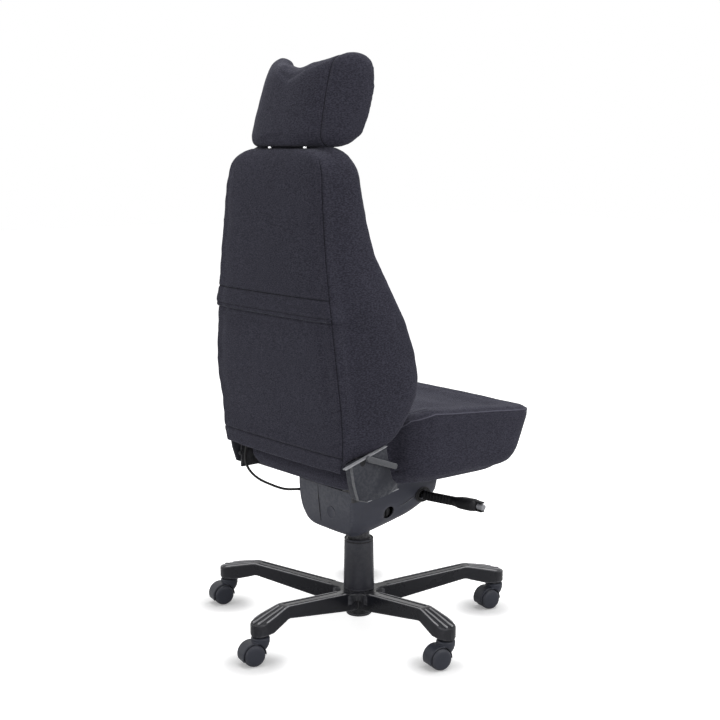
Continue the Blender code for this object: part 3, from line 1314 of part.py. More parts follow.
def band_rows():
    """The backrest's rows with four more at the edges of the band across its rear."""
    rows = back_rows()
    for place in (BAND_BOTTOM - BAND_LIP, BAND_BOTTOM, BAND_TOP, BAND_TOP + BAND_LIP):
        above = next(index for index, row in enumerate(rows) if row[0] > place)
        low = rows[above - 1]
        high = rows[above]
        share = (place - low[0]) / (high[0] - low[0])
        rows.insert(above, tuple(a + share * (b - a) for a, b in zip(low, high)))
    return rows


def row_height(row, y):
    """Height of a point of a row: the lowest rows follow the slope of the bottom edge."""
    fade = max(0.0, 1.0 - (row[0] - BACK_BOTTOM_REAR) / BACK_SLOPE_FADE)
    return row[0] + fade * fade * BACK_BOTTOM_SLOPE * (row[2] - y)


def back_cushion():
    rings = []
    for row in back_rows():
        rear_half, rear, side_half, bolster, middle = row[1:]
        face = rear - SHELL_THICKNESS - GAP
        depth = face - bolster
        half = [
            (0.0, middle),
            (side_half * 0.42, middle + 0.002),
            (side_half * 0.66, middle - (middle - bolster) * 0.55),
            (side_half * 0.83, bolster + depth * 0.01),
            (side_half * 0.965, bolster + depth * 0.01),
            (side_half, bolster + depth * 0.13),
            (side_half * 0.985, bolster + depth * 0.50),
            (rear_half, face - depth * 0.12),
            (rear_half - SHELL_EDGE, face),
            (rear_half * 0.5, face),
            (0.0, face),
        ]
        ring_points = spline_points(mirrored(half), 2, True)
        rings.append([Vector((x, min(y, face), row_height(row, min(y, face)))) for x, y in ring_points])
    cushion = loft("back_cushion", rings)
    inner = SEAT_PLATE_INNER + PLATE_THICKNESS + GAP
    for label, side in (("left", 1), ("right", -1)):
        near, far = sorted((side * (inner - GAP), side * (inner + PLATE_THICKNESS + GAP)))
        slot = box(f"back_arm_{label}_slot", (near, ARM_STRAP_FRONT - GAP, RECLINE_Z),
                   (far, ARM_STRAP_REAR + GAP, ARM_STRAP_TOP + GAP))
        cut(cushion, as_cutter(slot, RECLINE))
        hole_top = BACK_TOP + GUIDE_FLANGE
        guide_hole = rod(f"guide_{label}_hole", GUIDE_RADIUS + GAP, GUIDE_BOTTOM - GAP, hole_top)
        guide_hole.location = (side * HEADREST_ROD_X, HEADREST_ROD_Y, 0.0)
        cut(cushion, as_cutter(guide_hole, RECLINE))
    keep(cushion, FABRIC, RECLINE)


def back_shell():
    """Upholstered rear panel with a raised band across it, whose hem hangs below the cushion."""
    rings = []
    rows = band_rows()
    hem = (BACK_BOTTOM_REAR - HEM_DROP, HEM_SHARE * SEAT_HALF_WIDTH, *rows[0][2:])
    for row in [hem] + rows:
        height, rear_half, rear = row[:3]
        face = rear - SHELL_THICKNESS
        rise = BAND_RISE if BAND_BOTTOM - GAP <= height <= BAND_TOP + GAP else 0.0
        half = [
            (0.0, rear + SHELL_BULGE + rise),
            (rear_half * 0.45, rear + SHELL_BULGE * 0.8 + rise),
            (rear_half * 0.80, rear + SHELL_BULGE * 0.3 + rise),
            (rear_half - SHELL_EDGE * 0.7, rear - SHELL_EDGE * 0.3 + rise),
            (rear_half - SHELL_EDGE * 0.1, rear - SHELL_EDGE),
            (rear_half - SHELL_EDGE * 0.2, face + SHELL_EDGE * 0.3),
            (rear_half - SHELL_EDGE, face),
            (0.0, face),
        ]
        rings.append([Vector((x, y, row_height(row, y))) for x, y in mirrored(half)])
    keep(loft("back_shell", rings), FABRIC, RECLINE)


# Headrest

def headrest_edges(x, forward):
    """Heights of the pad's lower and top edges: two lobes with a dip between them, and wings rounded off."""
    share = min(abs(x) / HEADREST_LOBE_X, 1.6)
    top = HEADREST_TOP + HEADREST_LOBE * math.sin(share * math.pi / 2) ** 5
    out = max(0.0, forward / WING_DEPTH - WING_ROUND_FROM) / (1.0 - WING_ROUND_FROM)
    return HEADREST_BOTTOM + WING_LIFT * out ** 2, top - WING_FALL * out ** 2


def headrest_pad():
    # middle line of the pad from its centre to a wing's tip: shares of the half width, of the wings'
    # depth and of the half depth
    line_shares = (
        (0.0, 0.192, 1.0),
        (0.325, 0.202, 1.0),
        (0.61, 0.279, 0.968),
        (0.805, 0.481, 0.806),
        (0.915, 0.75, 0.613),
        (0.965, 1.0, 0.323),
    )
    spine = [(across * HEADREST_HALF_WIDTH, forward * WING_DEPTH, thick * HEADREST_HALF_DEPTH)
             for across, forward, thick in line_shares]
    # share of the height, of the thickness, of the wings' reach and of the width at each row
    rows = (
        (0.0, 0.55, 0.30, 0.97),
        (0.025, 0.85, 0.55, 1.01),
        (0.10, 0.98, 0.78, 1.055),
        (0.30, 1.0, 0.90, 1.045),
        (0.60, 1.0, 0.98, 1.0),
        (0.80, 0.93, 1.0, 0.975),
        (0.94, 0.70, 0.90, 0.95),
        (1.0, 0.32, 0.72, 0.93),
    )
    rings = []
    for share, fullness, reach, spread in rows:
        line = [Vector((point[0] * spread, point[1])) for point in spine]
        bend = line[WING_START].copy()
        for index in range(WING_START + 1, len(line)):
            line[index] = bend + (line[index] - bend) * reach
        tip = line[-1] + (line[-1] - line[-2]).normalized() * WING_TIP * fullness
        outer = []
        inner = []
        for index, middle in enumerate(line):
            ahead = line[min(index + 1, len(line) - 1)]
            behind = line[max(index - 1, 0)]
            along = (ahead - behind).normalized()
            side = Vector((along.y, -along.x)) * spine[index][2] * fullness
            outer.append(middle + side)
            inner.append(middle - side)
        half_ring = inner + [tip] + outer[::-1]
        flat = spline_points(mirrored(half_ring), 2, True)
        left_tip = len(flat) * 3 // 4
        points = []
        for x, forward in flat[left_tip:] + flat[:left_tip]:
            low, high = headrest_edges(x, forward)
            height = low + share * (high - low)
            rear = HEADREST_REAR - HEADREST_LEAN * (height - HEADREST_BOTTOM)
            points.append(Vector((x, rear - forward, height)))
        rings.append(points)
    pad = loft("headrest_pad", rings, strips=True)
    for label, side in (("left", 1), ("right", -1)):
        hole_low = HEADREST_BOTTOM - GUIDE_FLANGE
        hole = rod(f"rod_{label}_hole", HEADREST_ROD_RADIUS + GAP, hole_low, HEADREST_ROD_TOP + GAP)
        hole.location = (side * HEADREST_ROD_X, HEADREST_ROD_Y, 0.0)
        cut(pad, as_cutter(hole, HEADREST))
    keep(pad, FABRIC, HEADREST)


def headrest_rods():
    for label, side in (("left", 1), ("right", -1)):
        place = (side * HEADREST_ROD_X, HEADREST_ROD_Y, 0.0)
        flange_low = BACK_TOP + GAP
        guide = turned(f"headrest_guide_{label}", [
            (HEADREST_ROD_RADIUS + TURN_GAP, flange_low + GUIDE_FLANGE),
            (GUIDE_FLANGE_RADIUS, flange_low + GUIDE_FLANGE),
            (GUIDE_FLANGE_RADIUS, flange_low),
            (GUIDE_RADIUS, flange_low),
            (GUIDE_RADIUS, GUIDE_BOTTOM),
            (HEADREST_ROD_RADIUS + TURN_GAP, GUIDE_BOTTOM),
        ], steps=SMALL_STEPS, closed=True)
        guide.location = place
        keep(guide, BLACK_PLASTIC, RECLINE)
        post = rod(f"headrest_rod_{label}", HEADREST_ROD_RADIUS, HEADREST_ROD_BOTTOM, HEADREST_ROD_TOP)
        post.location = place
        keep(post, CHROME, HEADREST)


star_base()
casters()
gas_lift()
column_covers()
chassis()
housing()
tension_knob()
height_lever()
seat_plates(seat())
release_cable()
back_arms()
recliner_covers()
recliner_lever()
back_cushion()
back_shell()
headrest_pad()
headrest_rods()
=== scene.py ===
import math

import bmesh
import bpy
from mathutils import Matrix, Vector, noise


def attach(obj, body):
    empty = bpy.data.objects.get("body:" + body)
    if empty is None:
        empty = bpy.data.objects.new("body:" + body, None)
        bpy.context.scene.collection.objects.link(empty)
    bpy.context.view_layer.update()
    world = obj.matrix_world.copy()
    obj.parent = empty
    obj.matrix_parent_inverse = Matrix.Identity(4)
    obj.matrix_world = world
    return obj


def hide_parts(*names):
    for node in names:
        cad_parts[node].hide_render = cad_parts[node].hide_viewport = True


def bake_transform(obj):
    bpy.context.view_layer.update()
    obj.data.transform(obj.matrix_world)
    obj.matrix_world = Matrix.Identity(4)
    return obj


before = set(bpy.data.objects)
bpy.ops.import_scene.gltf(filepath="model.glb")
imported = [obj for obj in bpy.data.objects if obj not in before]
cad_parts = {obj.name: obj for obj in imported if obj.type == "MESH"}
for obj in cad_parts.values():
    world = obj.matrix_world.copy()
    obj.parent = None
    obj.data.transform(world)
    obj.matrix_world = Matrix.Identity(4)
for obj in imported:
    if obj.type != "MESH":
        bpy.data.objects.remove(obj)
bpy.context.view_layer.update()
scene = bpy.context.scene
scene.view_settings.view_transform = "Standard"
columnPlace = Vector((0.0177, -0.0270, 0.0))  # column's axis in the frame; shapes are drawn from it
print("frame loaded:", len(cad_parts), "nodes")


# camera

cameraSet = {"lens": 65.0, "place": (-2.3166, 1.9061, 1.13), "pitch": 80.61, "heading": 230.5}


def setCamera(opts):
    data = bpy.data.cameras.new("photoCamera")
    data.lens = opts["lens"]
    data.sensor_width = 36.0
    camera = bpy.data.objects.new("photoCamera", data)
    camera.location = columnPlace + Vector(opts["place"])
    camera.rotation_euler = (math.radians(opts["pitch"]), 0.0, math.radians(opts["heading"]))
    scene.collection.objects.link(camera)
    scene.camera = camera


setCamera(cameraSet)


# shape helpers

def smoothStep(low, high, value):
    share = min(max((value - low) / (high - low), 0.0), 1.0)
    return share * share * (3.0 - 2.0 * share)


def bump(value, spread):
    return math.exp(-(value / spread) ** 2)


def smoothLine(points, count):  # smooth line through the points, count steps to a span
    points = [Vector(point) for point in points]
    last = len(points) - 1
    line = []
    for span in range(last):
        before, start = points[max(span - 1, 0)], points[span]
        end, after = points[span + 1], points[min(span + 2, last)]
        for step in range(count):
            t = step / count
            bend = 2 * before - 5 * start + 4 * end - after
            turn = 3 * start - before - 3 * end + after
            line.append(0.5 * (2 * start + t * (end - before) + t * t * bend + t ** 3 * turn))
    line.append(points[-1])
    return line


def smoothRows(rows, count):  # each column of a table made a smooth line
    columns = zip(*rows)
    lines = [smoothLine([(value, 0, 0) for value in column], count) for column in columns]
    return [tuple(point[0] for point in row) for row in zip(*lines)]


def readTable(rows, place):  # values at a place in rows that start with their place
    if place <= rows[0][0]:
        return rows[0][1:]
    for low, high in zip(rows, rows[1:]):
        if place <= high[0]:
            share = (place - low[0]) / (high[0] - low[0])
            return tuple(a + share * (b - a) for a, b in zip(low[1:], high[1:]))
    return rows[-1][1:]


def turnShape(bm, angle, axis="Z"):
    bmesh.ops.rotate(bm, verts=bm.verts, cent=(0, 0, 0), matrix=Matrix.Rotation(angle, 3, axis))
    return bm


def moveShape(bm, by):
    bmesh.ops.translate(bm, verts=bm.verts, vec=by)
    return bm


def stretchShape(bm, by):
    bmesh.ops.scale(bm, verts=bm.verts, vec=by)
    return bm


def keepShape(bm):  # puts a shape away in a mesh, from which copies are taken
    mesh = bpy.data.meshes.new("shapeWork")
    bm.to_mesh(mesh)
    bm.free()
    return mesh


def copyShape(mesh):
    bm = bmesh.new()
    bm.from_mesh(mesh)
    return bm


def nodeShape(name):  # merged copy of a CAD node, drawn from the column
    bm = bmesh.new()
    bm.from_mesh(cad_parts[name].data)
    bmesh.ops.remove_doubles(bm, verts=bm.verts, dist=0.00001)
    return moveShape(bm, -columnPlace)


def addShape(bm, other):  # puts one shape's faces into another
    mesh = keepShape(other)
    bm.from_mesh(mesh)
    bpy.data.meshes.remove(mesh)
    return bm


def workObject(bm):
    piece = bpy.data.objects.new("shapeWork", keepShape(bm))
    scene.collection.objects.link(piece)
    return piece


def takeShape(piece):  # shape of a work object with its modifiers, which is then removed
    bpy.context.view_layer.update()
    graph = bpy.context.evaluated_depsgraph_get()
    mesh = bpy.data.meshes.new_from_object(piece.evaluated_get(graph))
    bm = bmesh.new()
    bm.from_mesh(mesh)
    old = piece.data
    bpy.data.objects.remove(piece, do_unlink=True)
    if old.users == 0:
        (bpy.data.meshes if isinstance(old, bpy.types.Mesh) else bpy.data.curves).remove(old)
    bpy.data.meshes.remove(mesh)
    return bm


def voxelShape(bm, voxel):
    piece = workObject(bm)
    remesh = piece.modifiers.new("voxels", "REMESH")
    remesh.mode = "VOXEL"
    remesh.voxel_size = voxel
    return takeShape(piece)


def smoothShape(bm, passes, verts=None):  # all of a shape, or some of its points
    for turn in range(passes):
        bmesh.ops.smooth_vert(bm, verts=verts or bm.verts, factor=0.5,
                              use_axis_x=True, use_axis_y=True, use_axis_z=True)


def finerShape(bm):
    piece = workObject(bm)
    finer = piece.modifiers.new("finer", "SUBSURF")
    finer.levels = 1
    finer.render_levels = 1
    return takeShape(piece)


def easeEdges(bm, width, angle=30.0, segments=3, pick=None):
    limit = math.radians(angle)
    sharp = [edge for edge in bm.edges if len(edge.link_faces) == 2 and edge.calc_face_angle(0.0) > limit
             and (pick is None or pick(edge))]
    bmesh.ops.bevel(bm, geom=sharp, offset=width, offset_type="OFFSET", segments=segments, profile=0.5,
                    affect="EDGES", clamp_overlap=True, material=-1)


def spunShape(profile, steps=48, axis="Z", place=(0.0, 0.0, 0.0), closed=False):
    bm = bmesh.new()
    verts = [bm.verts.new((radius, 0.0, height)) for radius, height in profile]
    edges = [bm.edges.new(pair) for pair in zip(verts, verts[1:])]
    if closed:
        edges.append(bm.edges.new((verts[-1], verts[0])))
    bmesh.ops.spin(bm, geom=verts + edges, axis=(0.0, 0.0, 1.0), cent=(0.0, 0.0, 0.0),
                   angle=2 * math.pi, steps=steps, use_merge=True)
    bmesh.ops.remove_doubles(bm, verts=bm.verts, dist=0.000002)
    bmesh.ops.recalc_face_normals(bm, faces=bm.faces)
    if axis == "X":
        turnShape(bm, math.pi / 2, "Y")
    if axis == "Y":
        turnShape(bm, -math.pi / 2, "X")
    return moveShape(bm, place)


def plateShape(outline, inner, outer):  # (y, z) outline between two places along X
    bm = bmesh.new()
    face = bm.faces.new([bm.verts.new((inner, y, z)) for y, z in outline])
    grown = bmesh.ops.extrude_face_region(bm, geom=[face])["geom"]
    moved = [item for item in grown if isinstance(item, bmesh.types.BMVert)]
    bmesh.ops.translate(bm, verts=moved, vec=(outer - inner, 0.0, 0.0))
    bmesh.ops.recalc_face_normals(bm, faces=bm.faces)
    return bm


def boxShape(low, high):
    bm = bmesh.new()
    bmesh.ops.create_cube(bm, size=1.0)
    low, high = Vector(low), Vector(high)
    return moveShape(stretchShape(bm, high - low), (low + high) / 2)


def loftShape(rings):  # rings of as many points each, bridged in turn and closed at the ends
    bm = bmesh.new()
    loops = []
    for ring in rings:
        before = len(bm.edges)
        verts = bmesh.ops.create_circle(bm, segments=len(ring), radius=1.0)["verts"]
        for vert, point in zip(verts, ring):
            vert.co = point
        bm.edges.ensure_lookup_table()
        loops.append(bm.edges[before:])
    for first, second in zip(loops, loops[1:]):
        bmesh.ops.bridge_loops(bm, edges=first + second)
    bmesh.ops.holes_fill(bm, edges=loops[0] + loops[-1], sides=0)
    bmesh.ops.recalc_face_normals(bm, faces=bm.faces)
    return bm


def cutShape(bm, cutters):  # takes other shapes out of a shape
    piece = workObject(bm)
    tools = [workObject(cutter) for cutter in cutters]
    for tool in tools:
        cut = piece.modifiers.new("cut", "BOOLEAN")
        cut.operation = "DIFFERENCE"
        cut.solver = "EXACT"
        cut.object = tool
    bm = takeShape(piece)
    for tool in tools:
        mesh = tool.data
        bpy.data.objects.remove(tool, do_unlink=True)
        bpy.data.meshes.remove(mesh)
    return bm


def makePiece(name, bm, body, finish, stands=(), sharp=40.0):
    bmesh.ops.remove_doubles(bm, verts=bm.verts, dist=0.000001)
    bmesh.ops.recalc_face_normals(bm, faces=bm.faces)
    moveShape(bm, columnPlace)
    limit = math.radians(sharp)
    for face in bm.faces:
        face.smooth = True
        face.material_index = 0
    for edge in bm.edges:
        edge.smooth = edge.calc_face_angle(0.0) < limit
    mesh = bpy.data.meshes.new(name)
    bm.to_mesh(mesh)
    bm.free()
    mesh.materials.clear()
    mesh.materials.append(finish)
    piece = bpy.data.objects.new(name, mesh)
    scene.collection.objects.link(piece)
    if body:  # a piece that bends between two bodies rides on none
        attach(piece, body)
    if stands:
        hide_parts(*stands)
    return piece


# finishes

def addNode(tree, kind, opts=None, feeds=None):
    node = tree.nodes.new(kind)
    for key, value in (opts or {}).items():
        setattr(node, key, value)
    for key, value in (feeds or {}).items():
        if isinstance(value, bpy.types.NodeSocket):
            tree.links.new(value, node.inputs[key])
        else:
            node.inputs[key].default_value = value
    return node


def calc(tree, operation, first, second=0.0):
    return addNode(tree, "ShaderNodeMath", {"operation": operation}, {0: first, 1: second}).outputs[0]


def spread(tree, value, low, high, start=0.0, end=1.0):
    feeds = {"Value": value, "From Min": low, "From Max": high, "To Min": start, "To Max": end}
    return addNode(tree, "ShaderNodeMapRange", {"interpolation_type": "SMOOTHSTEP"}, feeds).outputs["Result"]


def mixColour(tree, share, first, second):  # sockets by place, as the node's names repeat
    return addNode(tree, "ShaderNodeMix", {"data_type": "RGBA"}, {0: share, 6: first, 7: second}).outputs[2]


def grainNoise(tree, place, scale, detail=2.0, roughness=0.5):
    feeds = {"Vector": place, "Scale": scale, "Detail": detail, "Roughness": roughness}
    return addNode(tree, "ShaderNodeTexNoise", None, feeds).outputs["Fac"]


def addBump(tree, strength, distance, height):
    feeds = {"Strength": strength, "Distance": distance, "Height": height}
    return addNode(tree, "ShaderNodeBump", None, feeds)


def newGroup(name, inputs, outputs):
    group = bpy.data.node_groups.new(name, "ShaderNodeTree")
    for label, kind in inputs:
        group.interface.new_socket(label, in_out="INPUT", socket_type="NodeSocket" + kind)
    for label, kind in outputs:
        group.interface.new_socket(label, in_out="OUTPUT", socket_type="NodeSocket" + kind)
    return group, group.nodes.new("NodeGroupInput"), group.nodes.new("NodeGroupOutput")


def makeHeatherWeave():
    group, start, end = newGroup("heatherWeave", (("Place", "Vector"), ("Yarns", "Float")),
                                 (("Fleck", "Float"), ("Height", "Float"), ("Shade", "Float")))
    place, yarns = start.outputs["Place"], start.outputs["Yarns"]
    longer = {"Vector": place, "Scale": (0.42, 0.42, 1.0)}  # flecks longer sideways than upwards
    drawn = addNode(group, "ShaderNodeMapping", None, longer).outputs[0]
    fleck = grainNoise(group, drawn, calc(group, "MULTIPLY", yarns, 0.34), 3.0, 0.62)
    fine = grainNoise(group, drawn, calc(group, "MULTIPLY", yarns, 0.9), 2.0, 0.6)
    knot = addNode(group, "ShaderNodeTexVoronoi", None, {"Vector": place, "Scale": yarns}).outputs["Distance"]
    slow = grainNoise(group, place, 7.0, 3.0, 0.6)
    mask = calc(group, "ADD", calc(group, "MULTIPLY", spread(group, fleck, 0.36, 0.66), 0.72),
                calc(group, "MULTIPLY", spread(group, fine, 0.32, 0.68), 0.28))
    height = calc(group, "ADD", calc(group, "MULTIPLY", fine, 0.7), calc(group, "MULTIPLY", knot, -0.5))
    group.links.new(mask, end.inputs["Fleck"])
    group.links.new(height, end.inputs["Height"])
    group.links.new(spread(group, slow, 0.3, 0.7), end.inputs["Shade"])
    return group


def makeStitchLine():
    group, start, end = newGroup("stitchLine", (("Across", "Float"), ("Along", "Float"), ("Pitch", "Float")),
                                 (("Crease", "Float"), ("Thread", "Float"), ("Height", "Float")))
    far = calc(group, "ABSOLUTE", start.outputs["Across"])
    crease = spread(group, far, 0.0003, 0.0017, 1.0, 0.0)
    row = calc(group, "ABSOLUTE", calc(group, "SUBTRACT", far, 0.0052))
    step = calc(group, "FRACT", calc(group, "DIVIDE", start.outputs["Along"], start.outputs["Pitch"]))
    dash = calc(group, "ABSOLUTE", calc(group, "SUBTRACT", step, 0.5))
    thread = calc(group, "MULTIPLY", spread(group, row, 0.0003, 0.0008, 1.0, 0.0),
                  spread(group, dash, 0.28, 0.40, 1.0, 0.0))
    group.links.new(crease, end.inputs["Crease"])
    group.links.new(thread, end.inputs["Thread"])
    group.links.new(calc(group, "SUBTRACT", thread, crease), end.inputs["Height"])
    return group


def makeMouldGrain():
    group, start, end = newGroup("mouldGrain", (("Place", "Vector"), ("Scale", "Float")),
                                 (("Height", "Float"), ("Tone", "Float")))
    place, scale = start.outputs["Place"], start.outputs["Scale"]
    fine = grainNoise(group, place, scale, 2.0, 0.55)
    cell = addNode(group, "ShaderNodeTexVoronoi", {"feature": "SMOOTH_F1"},
                   {"Vector": place, "Scale": calc(group, "MULTIPLY", scale, 0.55)}).outputs["Distance"]
    slow = grainNoise(group, place, 9.0, 4.0, 0.6)
    height = calc(group, "ADD", calc(group, "MULTIPLY", fine, 0.6), calc(group, "MULTIPLY", cell, 0.4))
    group.links.new(height, end.inputs["Height"])
    group.links.new(spread(group, slow, 0.32, 0.68), end.inputs["Tone"])
    return group


# edges found by their pointiness and lightened in worn patches: edge wear, and partly a painted highlight on
# sharp edges
def makeEdgeWearShine():
    group, start, end = newGroup("edgeWearShine", (("Place", "Vector"), ("Reach", "Float")), (("WearShine", "Float"),))
    point = addNode(group, "ShaderNodeNewGeometry").outputs["Pointiness"]
    edge = spread(group, point, 0.505, calc(group, "ADD", start.outputs["Reach"], 0.505))
    worn = spread(group, grainNoise(group, start.outputs["Place"], 140.0, 4.0, 0.65), 0.38, 0.62)
    wearShine = calc(group, "MULTIPLY", edge, calc(group, "ADD", calc(group, "MULTIPLY", worn, 0.6), 0.4))
    group.links.new(wearShine, end.inputs["WearShine"])
    return group


def makeDustFall():
    group, start, end = newGroup("dustFall", (("Place", "Vector"), ("Amount", "Float")), (("Dust", "Float"),))
    normal = addNode(group, "ShaderNodeNewGeometry").outputs["Normal"]
    up = spread(group, addNode(group, "ShaderNodeSeparateXYZ", None, {0: normal}).outputs["Z"], 0.35, 1.0)
    patch = spread(group, grainNoise(group, start.outputs["Place"], 38.0, 5.0, 0.7), 0.40, 0.72)
    dust = calc(group, "MULTIPLY", calc(group, "MULTIPLY", up, patch), start.outputs["Amount"])
    group.links.new(dust, end.inputs["Dust"])
    return group


heatherWeave = makeHeatherWeave()
stitchLine = makeStitchLine()
mouldGrain = makeMouldGrain()
edgeWearShine = makeEdgeWearShine()
dustFall = makeDustFall()


def newFinish(name):
    finish = bpy.data.materials.new(name)
    finish.use_nodes = True
    tree = finish.node_tree
    shader = tree.nodes["Principled BSDF"]
    place = addNode(tree, "ShaderNodeTexCoord").outputs["Object"]
    return finish, tree, shader, place


def useGroup(tree, group, feeds):
    return addNode(tree, "ShaderNodeGroup", {"node_tree": group}, feeds).outputs


# crease: painted shade colour laid in seam and fold creases
heatherSet = {"dark": (0.016, 0.0156, 0.0228, 1.0), "light": (0.054, 0.0525, 0.0735, 1.0),
              "crease": (0.008, 0.008, 0.010, 1.0), "thread": (0.050, 0.050, 0.062, 1.0), "yarns": 1500.0,
              "weltHighlight": (0.115, 0.112, 0.145, 1.0), "pitch": 0.0046}


def makeHeather(opts):  # charcoal heather cloth, with seams drawn from the pieces' own attributes; seam creases are painted darker as painted shade and raised welts lighter as a painted highlight
    finish, tree, shader, place = newFinish("charcoalHeather")
    weave = useGroup(tree, heatherWeave, {"Place": place, "Yarns": opts["yarns"]})
    across = addNode(tree, "ShaderNodeAttribute", {"attribute_name": "seamAcross"}).outputs["Fac"]
    along = addNode(tree, "ShaderNodeAttribute", {"attribute_name": "seamAlong"}).outputs["Fac"]
    seam = useGroup(tree, stitchLine, {"Across": across, "Along": along, "Pitch": opts["pitch"]})
    shadeShine = addNode(tree, "ShaderNodeAttribute", {"attribute_name": "seamShadeShine"}).outputs["Fac"]
    share = calc(tree, "ADD", calc(tree, "MULTIPLY", weave["Fleck"], 0.84),
                 calc(tree, "MULTIPLY", weave["Shade"], 0.08))
    colour = mixColour(tree, share, opts["dark"], opts["light"])
    # painted shade: creases darkened by each seam's strength
    colour = mixColour(tree, calc(tree, "MULTIPLY", seam["Crease"], shadeShine), colour, opts["crease"])
    weltShine = calc(tree, "MULTIPLY", calc(tree, "MULTIPLY", seam["Crease"], shadeShine), -0.9)
    colour = mixColour(tree, weltShine, colour, opts["weltHighlight"])  # painted highlight along raised welts, whose seam strength is below nought
    colour = mixColour(tree, calc(tree, "MULTIPLY", seam["Thread"], 0.35), colour, opts["thread"])
    tree.links.new(colour, shader.inputs["Base Color"])
    rough = calc(tree, "ADD", calc(tree, "MULTIPLY", weave["Fleck"], -0.10), 0.92)
    tree.links.new(rough, shader.inputs["Roughness"])
    first = addBump(tree, 0.55, 0.0009, weave["Height"])
    second = addBump(tree, 0.6, 0.0007, seam["Height"])
    tree.links.new(first.outputs["Normal"], second.inputs["Normal"])
    tree.links.new(second.outputs["Normal"], shader.inputs["Normal"])
    shader.inputs["Sheen Weight"].default_value = 0.12
    shader.inputs["Sheen Roughness"].default_value = 0.45
    shader.inputs["Sheen Tint"].default_value = (0.72, 0.74, 0.86, 1.0)
    shader.inputs["Specular IOR Level"].default_value = 0.10
    return finish


def makeHard(name, opts):  # moulded, painted or plated surface
    finish, tree, shader, place = newFinish(name)
    grain = useGroup(tree, mouldGrain, {"Place": place, "Scale": opts["grain"]})
    wearShine = useGroup(tree, edgeWearShine, {"Place": place, "Reach": 0.06})["WearShine"]
    dust = useGroup(tree, dustFall, {"Place": place, "Amount": opts["dust"]})["Dust"]
    colour = mixColour(tree, grain["Tone"], opts["dark"], opts["light"])
    # edges lightened towards the edge colour: edge wear and a painted highlight
    colour = mixColour(tree, calc(tree, "MULTIPLY", wearShine, opts.get("wearShine", 0.4)), colour, opts["edge"])
    colour = mixColour(tree, dust, colour, (0.30, 0.29, 0.28, 1.0))
    tree.links.new(colour, shader.inputs["Base Color"])
    low, high = opts["rough"]
    rough = calc(tree, "ADD", calc(tree, "MULTIPLY", grain["Tone"], high - low), low)
    rough = calc(tree, "ADD", rough, calc(tree, "MULTIPLY", dust, 0.3))
    tree.links.new(rough, shader.inputs["Roughness"])
    lift = addBump(tree, opts["relief"], 0.0003, grain["Height"])
    tree.links.new(lift.outputs["Normal"], shader.inputs["Normal"])
    shader.inputs["Metallic"].default_value = opts.get("metal", 0.0)
    shader.inputs["Specular IOR Level"].default_value = opts.get("specular", 0.5)
    return finish
